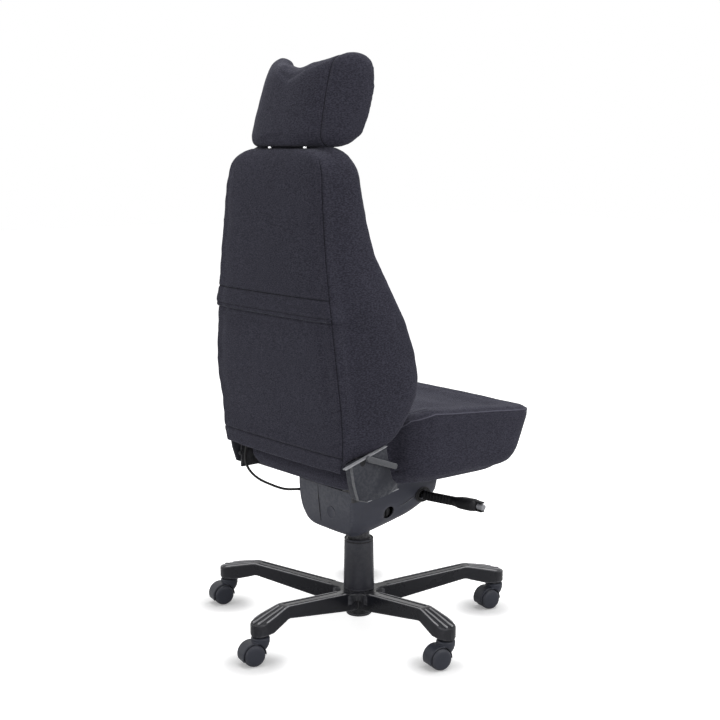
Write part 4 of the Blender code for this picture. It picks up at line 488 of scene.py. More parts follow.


# each finish's edge colour is laid on its sharp edges: edge wear, and partly a painted highlight along them
finishSets = {
    "greyMoulding": {"dark": (0.0385, 0.0405, 0.0560, 1), "light": (0.0480, 0.0505, 0.0690, 1),
                     "edge": (0.14, 0.145, 0.16, 1), "rough": (0.44, 0.56), "grain": 1500.0, "relief": 0.30,
                     "wearShine": 0.40, "dust": 0.06, "specular": 0.28},
    # grey of the recliner lever, also laid along a cover edge and the housing's ridge as painted highlight
    # lines
    "leverGreyAndShine": {"dark": (0.058, 0.060, 0.067, 1), "light": (0.072, 0.074, 0.082, 1),
                      "edge": (0.20, 0.205, 0.22, 1), "rough": (0.38, 0.50), "grain": 1500.0, "relief": 0.24,
                      "wearShine": 0.45, "dust": 0.05, "specular": 0.3},
    # pale grey of the tilt lock knob, also laid on the recliner covers as painted highlight lines
    "paleGreyAndShine": {"dark": (0.215, 0.219, 0.238, 1), "light": (0.260, 0.264, 0.285, 1),
                 "edge": (0.42, 0.42, 0.44, 1), "rough": (0.36, 0.48), "grain": 1500.0, "relief": 0.20,
                 "wearShine": 0.45, "dust": 0.05, "specular": 0.4},
    # black of moulded parts, also used for dark pieces standing in for shade in a groove, a split and a hole
    "blackPlasticAndShade": {"dark": (0.005, 0.005, 0.0065, 1), "light": (0.0085, 0.0085, 0.010, 1),
                      "edge": (0.06, 0.06, 0.065, 1), "rough": (0.40, 0.54), "grain": 1700.0, "relief": 0.28,
                      "wearShine": 0.35, "dust": 0.05, "specular": 0.22},
    "coatedCasting": {"dark": (0.0085, 0.0090, 0.0125, 1), "light": (0.0125, 0.0130, 0.0175, 1),
                      "edge": (0.16, 0.16, 0.175, 1), "rough": (0.25, 0.35), "grain": 900.0, "relief": 0.12,
                      "wearShine": 0.55, "dust": 0.04, "specular": 0.27},
    "coverMoulding": {"dark": (0.0190, 0.0202, 0.0275, 1), "light": (0.0245, 0.0260, 0.0350, 1),
                      "edge": (0.16, 0.165, 0.18, 1), "rough": (0.44, 0.56), "grain": 1500.0, "relief": 0.28,
                      "wearShine": 0.35, "dust": 0.03, "specular": 0.16},
    # light grey for the foot ribs and arm beads, standing in for their highlights: painted highlight
    "ribHighlightGrey": {"dark": (0.19, 0.19, 0.202, 1), "light": (0.26, 0.26, 0.272, 1),
                     "edge": (0.46, 0.46, 0.48, 1), "rough": (0.26, 0.38), "grain": 1200.0, "relief": 0.12,
                     "wearShine": 0.6, "dust": 0.05, "specular": 0.5},
    "blackSteel": {"dark": (0.010, 0.010, 0.012, 1), "light": (0.016, 0.016, 0.018, 1),
                   "edge": (0.10, 0.10, 0.11, 1), "rough": (0.32, 0.46), "grain": 1100.0, "relief": 0.15,
                   "wearShine": 0.5, "dust": 0.06, "specular": 0.3},
    "brightSteel": {"dark": (0.46, 0.46, 0.47, 1), "light": (0.58, 0.58, 0.59, 1),
                    "edge": (0.70, 0.70, 0.71, 1), "rough": (0.24, 0.38), "grain": 2200.0, "relief": 0.10,
                    "metal": 1.0, "dust": 0.0},
    "chromePlate": {"dark": (0.80, 0.80, 0.82, 1), "light": (0.88, 0.88, 0.90, 1),
                    "edge": (0.92, 0.92, 0.93, 1), "rough": (0.05, 0.10), "grain": 2600.0, "relief": 0.03,
                    "metal": 1.0, "dust": 0.0},
    "casterNylon": {"dark": (0.0225, 0.0250, 0.0355, 1), "light": (0.0305, 0.0330, 0.0460, 1),
                    "edge": (0.11, 0.11, 0.12, 1), "rough": (0.36, 0.50), "grain": 1400.0, "relief": 0.22,
                    "wearShine": 0.40, "dust": 0.06, "specular": 0.28},
    "columnCover": {"dark": (0.0215, 0.0222, 0.0295, 1), "light": (0.0295, 0.0303, 0.0400, 1),
                    "edge": (0.11, 0.11, 0.12, 1), "rough": (0.36, 0.46), "grain": 1500.0, "relief": 0.20,
                    "wearShine": 0.35, "dust": 0.04, "specular": 0.28},
    "cableJacket": {"dark": (0.008, 0.008, 0.009, 1), "light": (0.014, 0.014, 0.015, 1),
                    "edge": (0.05, 0.05, 0.05, 1), "rough": (0.40, 0.55), "grain": 2400.0, "relief": 0.2,
                    "dust": 0.03, "specular": 0.3},
}
heather = makeHeather(heatherSet)
finishes = {name: makeHard(name, opts) for name, opts in finishSets.items()}
print("finishes made:", 1 + len(finishes))


# release cable, from its clip on the left plate to its gland in the housing

cableSet = {
    "route": ((0.1945, 0.1860, 0.4440), (0.1945, 0.1890, 0.4180), (0.1925, 0.1930, 0.3910),
              (0.1829, 0.1895, 0.3665), (0.1650, 0.1765, 0.3460), (0.1420, 0.1545, 0.3310),
              (0.1210, 0.1300, 0.3205), (0.1060, 0.1030, 0.3185), (0.0940, 0.0850, 0.3180)),
    "diameter": 0.006, "boot": 0.024, "bootRadius": 0.0042,
}


def tubeShape(line, radii, sides=16):  # tube along a line, with a radius for each of its points
    curve = bpy.data.curves.new("shapeWork", "CURVE")
    curve.dimensions = "3D"
    curve.bevel_depth = 1.0
    curve.bevel_resolution = sides // 4
    curve.use_fill_caps = True
    run = curve.splines.new("POLY")
    run.points.add(len(line) - 1)
    for point, place, radius in zip(run.points, line, radii):
        point.co = (*place, 1.0)
        point.radius = radius
    piece = bpy.data.objects.new("shapeWork", curve)
    scene.collection.objects.link(piece)
    bm = takeShape(piece)
    bmesh.ops.remove_doubles(bm, verts=bm.verts, dist=0.000005)
    return bm


def makeCable(opts):
    line = smoothLine(opts["route"], 4)
    radius = opts["diameter"] / 2
    cable = makePiece("releaseCable", tubeShape(line, [radius] * len(line)), None, finishes["cableJacket"],
                      ["release_cable"], 60.0)
    for label, run, body in (("clipEnd", line[:5], "seat"), ("glandEnd", line[::-1][:5], "mechanism")):
        short = smoothLine(run, 3)
        radii = [opts["bootRadius"] - (opts["bootRadius"] - radius * 1.06) * (index / (len(short) - 1)) ** 0.8
                 + 0.0003 * (index % 2) for index in range(len(short))]
        makePiece("cableBoot_" + label, tubeShape(short, radii), body, finishes["blackPlasticAndShade"],
                               (), 50.0)
    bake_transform(cable)


makeCable(cableSet)


# padded pieces

# headrest posts, in the pad and in the back, and the guides that hold them
postSet = {"x": 0.0645, "y": 0.201, "top": 1.178, "foot": 1.005, "radius": 0.0050, "guideTop": 1.1232,
           "guideFoot": 0.995, "guideRadius": 0.0080, "guideBore": 0.0055}
backFoot = {"low": 0.456, "rear": 0.234, "slope": 0.30}  # the back's foot rises towards the front


def footRise(y):
    return backFoot["slope"] * (backFoot["rear"] - y)


def nearPost(place, radius):
    return (abs(place.x) - postSet["x"]) ** 2 + (place.y - postSet["y"]) ** 2 < radius ** 2


def fillBores(bm, inside):  # takes the walls of bores away and closes their mouths
    walls = [face for face in bm.faces if all(inside(vert.co) for vert in face.verts)]
    bmesh.ops.delete(bm, geom=walls, context="FACES")
    bmesh.ops.holes_fill(bm, edges=[edge for edge in bm.edges if edge.is_boundary], sides=0)
    bmesh.ops.triangulate(bm, faces=[face for face in bm.faces if len(face.verts) > 4])


clothSet = {"quality": 4, "mass": 0.3, "tension_stiffness": 14.0, "compression_stiffness": 14.0,
            "shear_stiffness": 6.0, "bending_stiffness": 0.8, "use_pressure": True}


def swellShape(bm, opts, hold):  # cloth blown up from a slightly smaller start, held where it rests
    bm.normal_update()
    rest = [(vert.co.copy(), vert.normal.copy()) for vert in bm.verts]
    holds = [hold(vert.co) for vert in bm.verts]
    for vert, share in zip(bm.verts, holds):
        vert.co -= vert.normal * opts["start"] * share
    begin = [vert.co.copy() for vert in bm.verts]
    piece = workObject(bm)
    cloth = piece.modifiers.new("swell", "CLOTH")
    for key, value in clothSet.items():
        setattr(cloth.settings, key, value)
    cloth.settings.uniform_pressure_force = opts["pressure"]
    cloth.settings.effector_weights.gravity = 0.0
    cloth.collision_settings.use_collision = False
    cloth.point_cache.frame_start = 1
    cloth.point_cache.frame_end = opts["frames"]
    for number in range(1, opts["frames"] + 1):
        scene.frame_set(number)
    bm = takeShape(piece)
    scene.frame_set(1)
    for vert, (place, outward), start, share in zip(bm.verts, rest, begin, holds):
        move = vert.co - start
        if move.length > opts["cap"]:
            move *= opts["cap"] / move.length
        shift = start + move - place
        vert.co = place + (shift - outward * min(shift.dot(outward), 0.0)) * share  # never inside the form
    return bm


# reach of a seam in metres, then its finer strip, the swelling beside it and the gathers along it in seam
# widths and shares of its depth, and last the slow waves of the cloth
seamSet = {"reach": 0.02, "finer": 2.6, "shoulder": 0.35, "shoulderAt": 3.2, "shoulderWide": 1.8,
           "gather": 0.22, "gatherWide": 4.0, "gatherTurns": 170.0, "waveScale": 9.0, "rippleScale": 31.0,
           "rippleShare": 0.3}


def sewSeams(bm, opts, seams):  # pulls the seams in and keeps each point's place beside them
    def nearest(vert):
        best = (seamSet["reach"], 0.0, 0.0)
        for seam in seams:
            found = seam(vert.co, vert.normal)
            if found and abs(found[0]) < abs(best[0]):
                best = found
        return best

    depth, width = opts["depth"], opts["width"]
    bm.normal_update()
    close = {vert for vert in bm.verts if abs(nearest(vert)[0]) < width * seamSet["finer"]}
    edges = [edge for edge in bm.edges if edge.verts[0] in close and edge.verts[1] in close]
    bmesh.ops.subdivide_edges(bm, edges=edges, cuts=1, use_grid_fill=True)
    bm.normal_update()
    acrossLayer = bm.verts.layers.float.new("seamAcross")
    alongLayer = bm.verts.layers.float.new("seamAlong")
    shadeShineLayer = bm.verts.layers.float.new("seamShadeShine")
    moves = []
    for vert in bm.verts:
        across, along, strength = nearest(vert)
        vert[acrossLayer] = across
        vert[alongLayer] = along
        # strength of the painted light along the seam: above nought painted shade in its crease, below nought
        # a painted highlight
        vert[shadeShineLayer] = min(strength * 1.1, 1.0)
        pull = -depth * strength * bump(across, width)
        beside = bump(abs(across) - seamSet["shoulderAt"] * width, seamSet["shoulderWide"] * width)
        shoulder = seamSet["shoulder"] * depth * strength * beside
        ripple = bump(across, seamSet["gatherWide"] * width) * math.sin(along * seamSet["gatherTurns"])
        gather = seamSet["gather"] * depth * strength * ripple
        place = vert.co
        wave = noise.noise(place * seamSet["waveScale"]) * opts["wave"]
        wave += noise.noise(place * seamSet["rippleScale"]) * opts["wave"] * seamSet["rippleShare"]
        fold = opts["pleat"](place) if "pleat" in opts else 0.0
        moves.append((vert, vert.normal * (pull + shoulder + gather + fold + wave * opts["free"](place))))
    for vert, move in moves:
        vert.co += move
    return bm


# height, the rear panel's share of the half width, its place along Y, and the sides' share of the half width
backTable = ((0.456, 0.874, 0.234, 0.945), (0.468, 0.894, 0.236, 0.969), (0.540, 0.902, 0.238, 0.988),
             (0.630, 0.909, 0.249, 0.992), (0.760, 0.850, 0.254, 0.950), (0.900, 0.774, 0.255, 0.845),
             (1.020, 0.714, 0.251, 0.770), (1.075, 0.678, 0.246, 0.732), (1.106, 0.600, 0.241, 0.650),
             (1.122, 0.445, 0.230, 0.480))
backRows = smoothRows(backTable, 4)
backSet = {"voxel": 0.006, "smooth": 3, "start": 0.002, "cap": 0.005, "pressure": 5.0, "frames": 20,
           "depth": 0.0024, "width": 0.0021, "wave": 0.0012, "hem": 0.474, "bandLow": 0.763,
           "bandStitch": 0.7725, "bandTop": 0.810, "halfWidth": 0.254, "flap": 0.0034, "topLift": 0.0072}


def backFree(place):  # 1 where the back may swell, 0 where it meets the seat, the guides and the pad above
    low = smoothStep(0.50, 0.60, place.z - footRise(place.y) * smoothStep(0.66, 0.46, place.z))
    top = 1.0 - smoothStep(1.085, 1.112, place.z)
    return low * top


def makeBack(opts):
    bm = nodeShape("back_cushion")

    def inBore(place):
        slot = 0.2130 < abs(place.x) < 0.2210 and 0.1510 < place.y < 0.1890 and place.z < 0.5810
        return slot or (nearPost(place, 0.0097) and place.z > 0.99)

    fillBores(bm, inBore)
    panel = moveShape(nodeShape("back_shell"), (0.0, -0.0015, 0.0))  # laps the cushion, so the two join
    bm = voxelShape(addShape(bm, panel), opts["voxel"])
    smoothShape(bm, opts["smooth"])
    for vert in bm.verts:  # the front of the top stands up under the headrest
        front = smoothStep(0.203, 0.192, vert.co.y)
        vert.co.z += opts["topLift"] * smoothStep(1.095, 1.116, vert.co.z) * front
    bm = finerShape(swellShape(bm, opts, backFree))
    width = opts["halfWidth"]

    def sideSeam(place, normal):
        rearShare, rear = readTable(backRows, place.z)[:2]
        across = (rearShare * width - abs(place.x)) - (rear - 0.003 - place.y)
        near = abs(abs(place.x) - rearShare * width) < 0.03 and abs(place.y - rear) < 0.03
        return (across, place.z, 0.75) if near and 0.440 < place.z < 1.10 else None

    def rearward(normal):  # seams of the rear panel fade out at its rounded sides
        return smoothStep(0.35, 0.85, normal.y)

    def hemSeam(place, normal):
        return (place.z - opts["hem"], place.x, 0.7) if normal.y > 0.5 else None

    def bandSeam(height, strength):
        def seam(place, normal):
            return (place.z - height, place.x, strength * rearward(normal)) if normal.y > 0.3 else None
        return seam

    def frontSeam(place, normal):
        sideShare = readTable(backRows, place.z)[2]
        across = abs(place.x) - 0.60 * sideShare * width
        return (across, place.z, 1.4) if normal.y < -0.1 and 0.52 < place.z < 1.085 else None

    def bandFlap(place):  # the pocket's band hangs proud at its lower edge
        if place.z <= opts["bandLow"] - 0.0004:
            return 0.0
        hang = smoothStep(opts["bandTop"], opts["bandLow"] + 0.003, place.z)
        return opts["flap"] * hang * smoothStep(0.195, 0.232, place.y)

    opts["free"] = backFree
    opts["pleat"] = bandFlap
    band = [bandSeam(opts["bandTop"], 0.8), bandSeam(opts["bandLow"], 0.9), bandSeam(opts["bandStitch"], 0.5)]
    bm = sewSeams(bm, opts, [sideSeam, hemSeam] + band + [frontSeam])
    piece = makePiece("backUpholstery", bm, "back", heather,
                      ["back_cushion", "back_shell"], 180.0)
    print("back upholstery:", len(piece.data.polygons), "faces")


# place along Y and height of the top's edge
seatStops = ((-0.339, 0.517), (-0.212, 0.53005), (-0.01867, 0.546), (0.03425, 0.534), (0.081875, 0.49712),
             (0.188, 0.452))
seatSet = {"voxel": 0.006, "smooth": 3, "start": 0.002, "cap": 0.006, "pressure": 5.0, "frames": 20,
           "depth": 0.0024, "width": 0.0021, "wave": 0.0014, "nose": 0.009, "rounds": 9}


def seatFree(place):
    low = smoothStep(0.398, 0.440, place.z)
    return low * (1.0 - smoothStep(0.0, 0.075, place.y))


def makeSeat(opts):
    pan = moveShape(nodeShape("seat_pan"), (0.0, 0.0, 0.0012))  # laps the cushion, whose cover wraps it
    bm = voxelShape(addShape(nodeShape("seat_cushion"), pan), opts["voxel"])
    for vert in bm.verts:
        vert.co.y -= opts["nose"] * smoothStep(-0.24, -0.33, vert.co.y)
    smoothShape(bm, opts["rounds"], [vert for vert in bm.verts if vert.co.y < -0.27])
    smoothShape(bm, opts["smooth"])
    bm = finerShape(swellShape(bm, opts, seatFree))

    def weltSeam(place, normal):
        across = place.z - (readTable(seatStops, place.y)[0] - 0.006)
        side = math.hypot(normal.x, normal.y) > 0.55
        along = place.y if abs(normal.x) > abs(normal.y) else place.x
        return (across, along, -0.8) if side and place.z > 0.43 else None  # raised, not sunk, and painted lighter along it as a painted highlight

    def pleat(place):  # folds gather where the side is tucked in beside the recliner
        away, up = place.y - 0.088, place.z - 0.402
        ripple = 0.0019 * math.sin(11.0 * math.atan2(up, away))
        return ripple * bump(math.hypot(away, up) - 0.024, 0.020) * smoothStep(0.17, 0.20, abs(place.x))

    # fold lines pulled in, with their creases painted darker as painted shade
    def foldLine(turn):
        def seam(place, normal):
            away, up = place.y - 0.0965, place.z - 0.4215
            along = -away * math.cos(turn) + up * math.sin(turn)
            across = away * math.sin(turn) + up * math.cos(turn)
            strength = 0.9 * smoothStep(0.004, 0.010, along) * smoothStep(0.046, 0.028, along)
            return (across, along, strength) if strength > 0.02 and abs(place.x) > 0.2 else None
        return seam

    opts["free"] = seatFree
    opts["pleat"] = pleat
    folds = [foldLine(math.radians(angle)) for angle in (-10.0, -24.0, -40.0, -56.0)]
    bm = sewSeams(bm, opts, [weltSeam] + folds)
    piece = makePiece("seatUpholstery", bm, "seat", heather,
                      ["seat_cushion", "seat_pan"], 180.0)
    print("seat upholstery:", len(piece.data.polygons), "faces")


headrestSet = {"voxel": 0.0045, "smooth": 3, "start": 0.002, "cap": 0.005, "pressure": 5.0, "frames": 20,
               "depth": 0.0022, "width": 0.0020, "wave": 0.0010, "lift": 0.008, "rounds": 26,
               "valley": 0.010, "shoulder": 0.009, "front": 0.010, "lip": 0.0020}


def headrestFree(place):
    return smoothStep(1.130, 1.150, place.z)


def makeHeadrest(opts):
    bm = nodeShape("headrest_pad")
    fillBores(bm, lambda place: nearPost(place, 0.0062) and place.z < 1.180)
    bm = voxelShape(bm, opts["voxel"])
    for vert in bm.verts:
        out, high = abs(vert.co.x), vert.co.z
        lift = opts["lift"] * smoothStep(1.24, 1.30, high) * smoothStep(0.07, 0.13, out)
        lift += opts["valley"] * bump(out - 0.062, 0.034) * smoothStep(1.235, 1.285, high)
        lift -= opts["shoulder"] * smoothStep(0.142, 0.180, out) * smoothStep(1.22, 1.30, high)
        lift -= opts["front"] * smoothStep(0.112, 0.070, vert.co.y) * smoothStep(1.25, 1.31, high)
        vert.co.z += lift - opts["lip"] * smoothStep(1.148, 1.130, high) * smoothStep(0.206, 0.192, vert.co.y)
    lobes = [vert for vert in bm.verts if vert.co.z > 1.255 and abs(vert.co.x) > 0.055]
    smoothShape(bm, opts["rounds"], lobes)
    smoothShape(bm, opts["smooth"])
    bm = finerShape(swellShape(bm, opts, headrestFree))

    def wingSeam(place, normal):
        line = 0.128 - 0.09 * (place.z - 1.127)
        return (abs(place.x) - line, place.z, 0.6) if normal.y > 0.1 else None

    def faceSeam(place, normal):
        return (abs(place.x) - 0.088, place.z, 1.2) if normal.y < -0.2 and 1.14 < place.z < 1.30 else None

    opts["free"] = headrestFree
    bm = sewSeams(bm, opts, (wingSeam, faceSeam))
    piece = makePiece("headrestUpholstery", bm, "headrest", heather,
                      ["headrest_pad"], 180.0)
    print("headrest upholstery:", len(piece.data.polygons), "faces")


makeBack(backSet)
makeSeat(seatSet)
makeHeadrest(headrestSet)


# five-arm base

baseSet = {
    "arms": 5, "turn": 29.8, "stemCircle": 0.347, "hubRadius": 0.043, "hubTop": 0.080, "bore": 0.0254,
    "armHalf": 0.0162, "corner": 0.0022, "rootBottom": 0.035, "kneeRadius": 0.268, "kneeTop": 0.1113,
    "kneeDepth": 0.0302, "footHalf": 0.022, "footBottom": 0.0655, "footTop": 0.0965, "footDrop": 0.005,
    "footCorner": 0.0036, "ledge": (0.066, 0.262), "ledgeDepth": 0.0060, "fillet": 0.028, "skirt": 0.054,
    "bead": 0.0015, "arch": 0.0155,
    "plate": ((0.066, 0.0110), (0.100, 0.0082), (0.165, 0.0072), (0.262, 0.0064)),
    "archZ": 0.0460, "tubeRadius": 0.0282, "tubeBottom": 0.0158, "ribs": 2, "ribPitch": 0.0126,
    "ribWidth": 0.0034, "ribHeight": 0.0019, "ribStart": 0.279, "ribEnd": 0.364,
}


def armAngle(opts, number):  # halves stand for the gaps between arms
    return math.radians(opts["turn"] + 360.0 / opts["arms"] * number)


def armEdges(opts):  # place along the arm, heights of its underside and top, half width
    knee, top, half = opts["kneeRadius"], opts["kneeTop"], opts["armHalf"]
    stem, wide, foot, drop = opts["stemCircle"], opts["footHalf"], opts["footTop"], opts["footDrop"]
    return ((0.026, opts["rootBottom"] - 0.003, opts["hubTop"] - 0.0024, half),
            (opts["hubRadius"], opts["rootBottom"], opts["hubTop"], half),
            (knee - 0.004, top - opts["kneeDepth"] - 0.0004, top - 0.0006, half),
            (knee + 0.003, 0.0802, top, half),
            (knee + 0.012, 0.0772, top - 0.0012, half + 0.0008),
            (stem - wide, opts["footBottom"], foot + drop, wide),
            (stem, opts["footBottom"], foot, wide))


def armShape(opts):
    knee, stem, wide = opts["kneeRadius"], opts["stemCircle"], opts["footHalf"]
    start, end = opts["ledge"]
    places = [0.026, 0.050, start - 0.004, start, start + 0.003, start + 0.007, start + 0.012, 0.100, 0.130,
              0.165, 0.210, end - 0.012, end - 0.005, end - 0.002, end, knee - 0.004, knee - 0.001,
              knee + 0.003, knee + 0.007, knee + 0.012, stem - wide - 0.012, stem - wide,
              stem - wide / 2, stem]
    stations = [(place, *readTable(armEdges(opts), place)) for place in places]
    for angle in (14.0, 28.0, 42.0, 54.0, 64.0, 73.0, 80.0, 86.0):
        turn = math.radians(angle)
        stations.append((stem + wide * math.sin(turn), opts["footBottom"],
                         opts["footTop"] - opts["footDrop"] * math.sin(turn), wide * math.cos(turn)))
    rings = []
    for place, low, high, across in stations:
        edge = min(opts["corner"] if place < knee else opts["footCorner"], across * 0.24)
        base = min(0.0035, across * 0.4)
        inside = smoothStep(start, start + 0.010, place) * smoothStep(end, end - 0.007, place)
        depth = opts["ledgeDepth"] * inside
        rim = across * 0.74
        plate = min(readTable(opts["plate"], place)[0], rim - 0.0008)
        tight = min(0.0006, across * 0.05)
        side = [(0.0, low), (across - base - tight, low), (across - base, low),
                (across - base * 0.3, low + base * 0.3), (across, low + base), (across, low + base + tight),
                (across, high - edge - tight)]
        side += [(across - edge + edge * math.cos(turn), high - edge + edge * math.sin(turn))
                 for turn in (0.0, 0.4, 0.8, 1.2, math.pi / 2)]
        side += [(rim + min(0.0003, across * 0.01), high), (rim, high - 0.1 * depth),
                 (rim - 0.0002, high - depth), (plate + 0.0002, high - depth), (plate, high - 0.1 * depth),
                 (plate * 0.94, high), (0.0, high)]
        ring = side + [(-y, z) for y, z in side[-2:0:-1]]
        rings.append([(place, y, z) for y, z in ring])
    return loftShape(rings)


def beadShape(opts):  # beads along both edges of an arm and its foot, light grey as a painted highlight line
    knee, stem, wide = opts["kneeRadius"], opts["stemCircle"], opts["footHalf"]
    start = opts["ledge"][0]
    places = [start - 0.001, start + 0.001, 0.075, 0.110, 0.165, 0.220, knee - 0.004, knee + 0.003,
              knee + 0.012, stem - wide - 0.012, stem - wide, stem - 0.004, stem]
    bm = bmesh.new()
    for side in (-1, 1):
        line = []
        for place in places:
            low, high, across = readTable(armEdges(opts), place)
            line.append((place, side * (across - 0.0021), high - 0.0002))
        radii = [0.0006] + [opts["bead"]] * (len(line) - 2) + [0.0006]
        addShape(bm, tubeShape(line, radii, 8))
    return bm


def hubShape(opts):
    half, fillet, top = opts["armHalf"], opts["fillet"], opts["hubTop"]
    bm = bmesh.new()
    outline = []
    for number in range(opts["arms"]):  # a hollow round joins each arm to the next
        middle = armAngle(opts, number + 0.5)
        far = (half + fillet) / math.sin(math.pi / opts["arms"])
        for step in range(13):
            turn = middle + math.radians(-126.0 - 9.0 * step)
            outline.append((far * math.cos(middle) + fillet * math.cos(turn),
                            far * math.sin(middle) + fillet * math.sin(turn), top))
    face = bm.faces.new([bm.verts.new(point) for point in outline])
    grown = bmesh.ops.extrude_face_region(bm, geom=[face])["geom"]
    moved = [item for item in grown if isinstance(item, bmesh.types.BMVert)]
    bmesh.ops.translate(bm, verts=moved, vec=(0.0, 0.0, opts["skirt"] - top))
    bmesh.ops.recalc_face_normals(bm, faces=bm.faces)
    easeEdges(bm, 0.0042, 50.0, 3, lambda edge: min(vert.co.z for vert in edge.verts) > top - 0.001)
    tops = [face for face in bm.faces if face.normal.z > 0.99]
    bmesh.ops.inset_region(bm, faces=tops, thickness=0.0008, depth=0.0)
    cutters = [spunShape([(0.0, -0.02), (opts["bore"], -0.02), (opts["bore"], 0.12), (0.0, 0.12)], 48)]
    for number in range(opts["arms"]):  # arched openings that show the tube between the arms
        arch = spunShape([(0.0, opts["bore"] + 0.001), (opts["arch"], opts["bore"] + 0.001),
                          (opts["arch"] * 1.12, 0.09), (0.0, 0.09)], 40, "X", (0.0, 0.0, opts["archZ"]))
        cutters.append(turnShape(arch, armAngle(opts, number + 0.5)))
    return cutShape(bm, cutters)


def stemPlace(opts, number):  # where a caster's stem stands
    angle = armAngle(opts, number)
    return Vector((opts["stemCircle"] * math.cos(angle), opts["stemCircle"] * math.sin(angle), 0.0))


def starBaseShape(opts):
    arm = keepShape(armShape(opts))
    bore, wide, low = opts["bore"], opts["tubeRadius"], opts["tubeBottom"]
    bm = spunShape([(bore, 0.078), (wide, 0.078), (wide, low + 0.0085), (wide + 0.0006, low + 0.0075),
                    (wide + 0.0016, low + 0.0070), (wide + 0.0022, low + 0.0060),
                    (wide + 0.0022, low + 0.0016), (wide + 0.0008, low), (bore, low)], 72, closed=True)
    addShape(bm, hubShape(opts))
    for number in range(opts["arms"]):
        addShape(bm, turnShape(copyShape(arm), armAngle(opts, number)))
    bpy.data.meshes.remove(arm)
    return bm


def ribShape(opts):
    tops = ((opts["kneeRadius"] + 0.012, opts["kneeTop"] - 0.0012),
            (opts["stemCircle"] - opts["footHalf"], opts["footTop"] + opts["footDrop"]),
            (opts["stemCircle"], opts["footTop"]), (0.40, opts["footTop"] - 0.006))
    bm = bmesh.new()
    for index in range(opts["ribs"]):
        across = (index - (opts["ribs"] - 1) / 2) * opts["ribPitch"]
        far = opts["ribEnd"] - 0.012 * (across / 0.0132) ** 2
        near = opts["ribStart"]
        rib = boxShape((near, across - opts["ribWidth"] / 2, -0.003),
                       (far, across + opts["ribWidth"] / 2, opts["ribHeight"]))
        lengthwise = [edge for edge in rib.edges if abs(edge.verts[0].co.x - edge.verts[1].co.x) > 0.01]
        bmesh.ops.subdivide_edges(rib, edges=lengthwise, cuts=5)
        for vert in rib.verts:
            rise = readTable(tops, vert.co.x)[0]
            vert.co.y *= 1.0 + 0.16 * (vert.co.x - near) / (far - near)
            vert.co.z += rise
        easeEdges(rib, 0.0009, 40.0, 3)
        addShape(bm, rib)
    foot = keepShape(bm)
    ribs = bmesh.new()
    for number in range(opts["arms"]):
        addShape(ribs, turnShape(beadShape(opts), armAngle(opts, number)))
        addShape(ribs, turnShape(copyShape(foot), armAngle(opts, number)))
    bpy.data.meshes.remove(foot)
    return ribs


makePiece("starBase", starBaseShape(baseSet), "base", finishes["coatedCasting"],
          ["star_base"], 32.0)
# foot ribs and edge beads in light grey as painted highlights
makePiece("footRibs", ribShape(baseSet), "base", finishes["ribHighlightGrey"], (), 32.0)
print("base made")


# casters

casterSet = {"turn": -12.0, "trail": 0.0205, "wheelRadius": 0.025, "hoodRadius": 0.0285, "hoodHalf": 0.0180,
             "web": 0.0045, "room": 0.0262, "sweep": (-25.0, 184.0), "socketRadius": 0.0212,
             "socketTop": 0.0619, "voxel": 0.00085}


def hoodShape(opts):  # a T section swept over the wheels, and the socket of the stem
    outer, half, web, room = opts["hoodRadius"], opts["hoodHalf"], opts["web"], opts["room"]
    profile = ((-web, 0.005), (-web, room), (-half, room), (-half, outer - 0.0014), (-half + 0.0018, outer),
               (half - 0.0018, outer), (half, outer - 0.0014), (half, room), (web, room), (web, 0.005))
    bm = bmesh.new()
    face = bm.faces.new([bm.verts.new((x, radius, 0.0)) for x, radius in profile])
    low, high = opts["sweep"]
    turnShape(bm, math.radians(low), "X")
    bmesh.ops.spin(bm, geom=[face] + face.verts[:] + face.edges[:], axis=(1.0, 0.0, 0.0),
                   cent=(0.0, 0.0, 0.0), angle=math.radians(high - low), steps=52)
    bmesh.ops.holes_fill(bm, edges=[edge for edge in bm.edges if edge.is_boundary], sides=0)
    bmesh.ops.recalc_face_normals(bm, faces=bm.faces)
    axle = (0.0, opts["trail"], opts["wheelRadius"])
    moveShape(bm, axle)
    wide, top = opts["socketRadius"], opts["socketTop"]
    socket = spunShape([(0.0, top), (wide - 0.0035, top), (wide - 0.0012, top - 0.0011), (wide, top - 0.0035),
                        (wide - 0.0004, 0.050), (wide - 0.0030, 0.041), (wide - 0.0070, 0.034),
                        (0.0, 0.034)], 56)
    wells = [spunShape([(0.0, low), (room, low), (room, high), (0.0, high)], 64, "X", axle)
             for low, high in ((-half - 0.01, -web), (web, half + 0.01))]  # room for a wheel at each side
    addShape(bm, cutShape(socket, wells))
    bm = voxelShape(bm, opts["voxel"])
    smoothShape(bm, 3)
    return bm


def wheelShape(opts):
    radius = opts["wheelRadius"]
    cap = [(0.0, 0.0244), (0.0080, 0.0243), (0.0140, 0.0240), (0.0185, 0.0234), (0.0212, 0.0224),
           (0.0230, 0.0208), (0.0238, 0.0192), (0.0240, 0.0176), (0.0234, 0.0170), (0.0234, 0.0164)]
    tread = [(0.0244, 0.0160), (radius, 0.0150), (radius, 0.0080), (0.0247, 0.0066), (0.0236, 0.0055)]
    inside = [(0.0220, 0.0052), (0.0150, 0.0052), (0.0146, 0.0070), (0.0080, 0.0070), (0.0076, 0.0052),
              (0.0045, 0.0052), (0.0045, 0.0165), (0.0, 0.0165)]
    return spunShape(cap + tread + inside, 72)


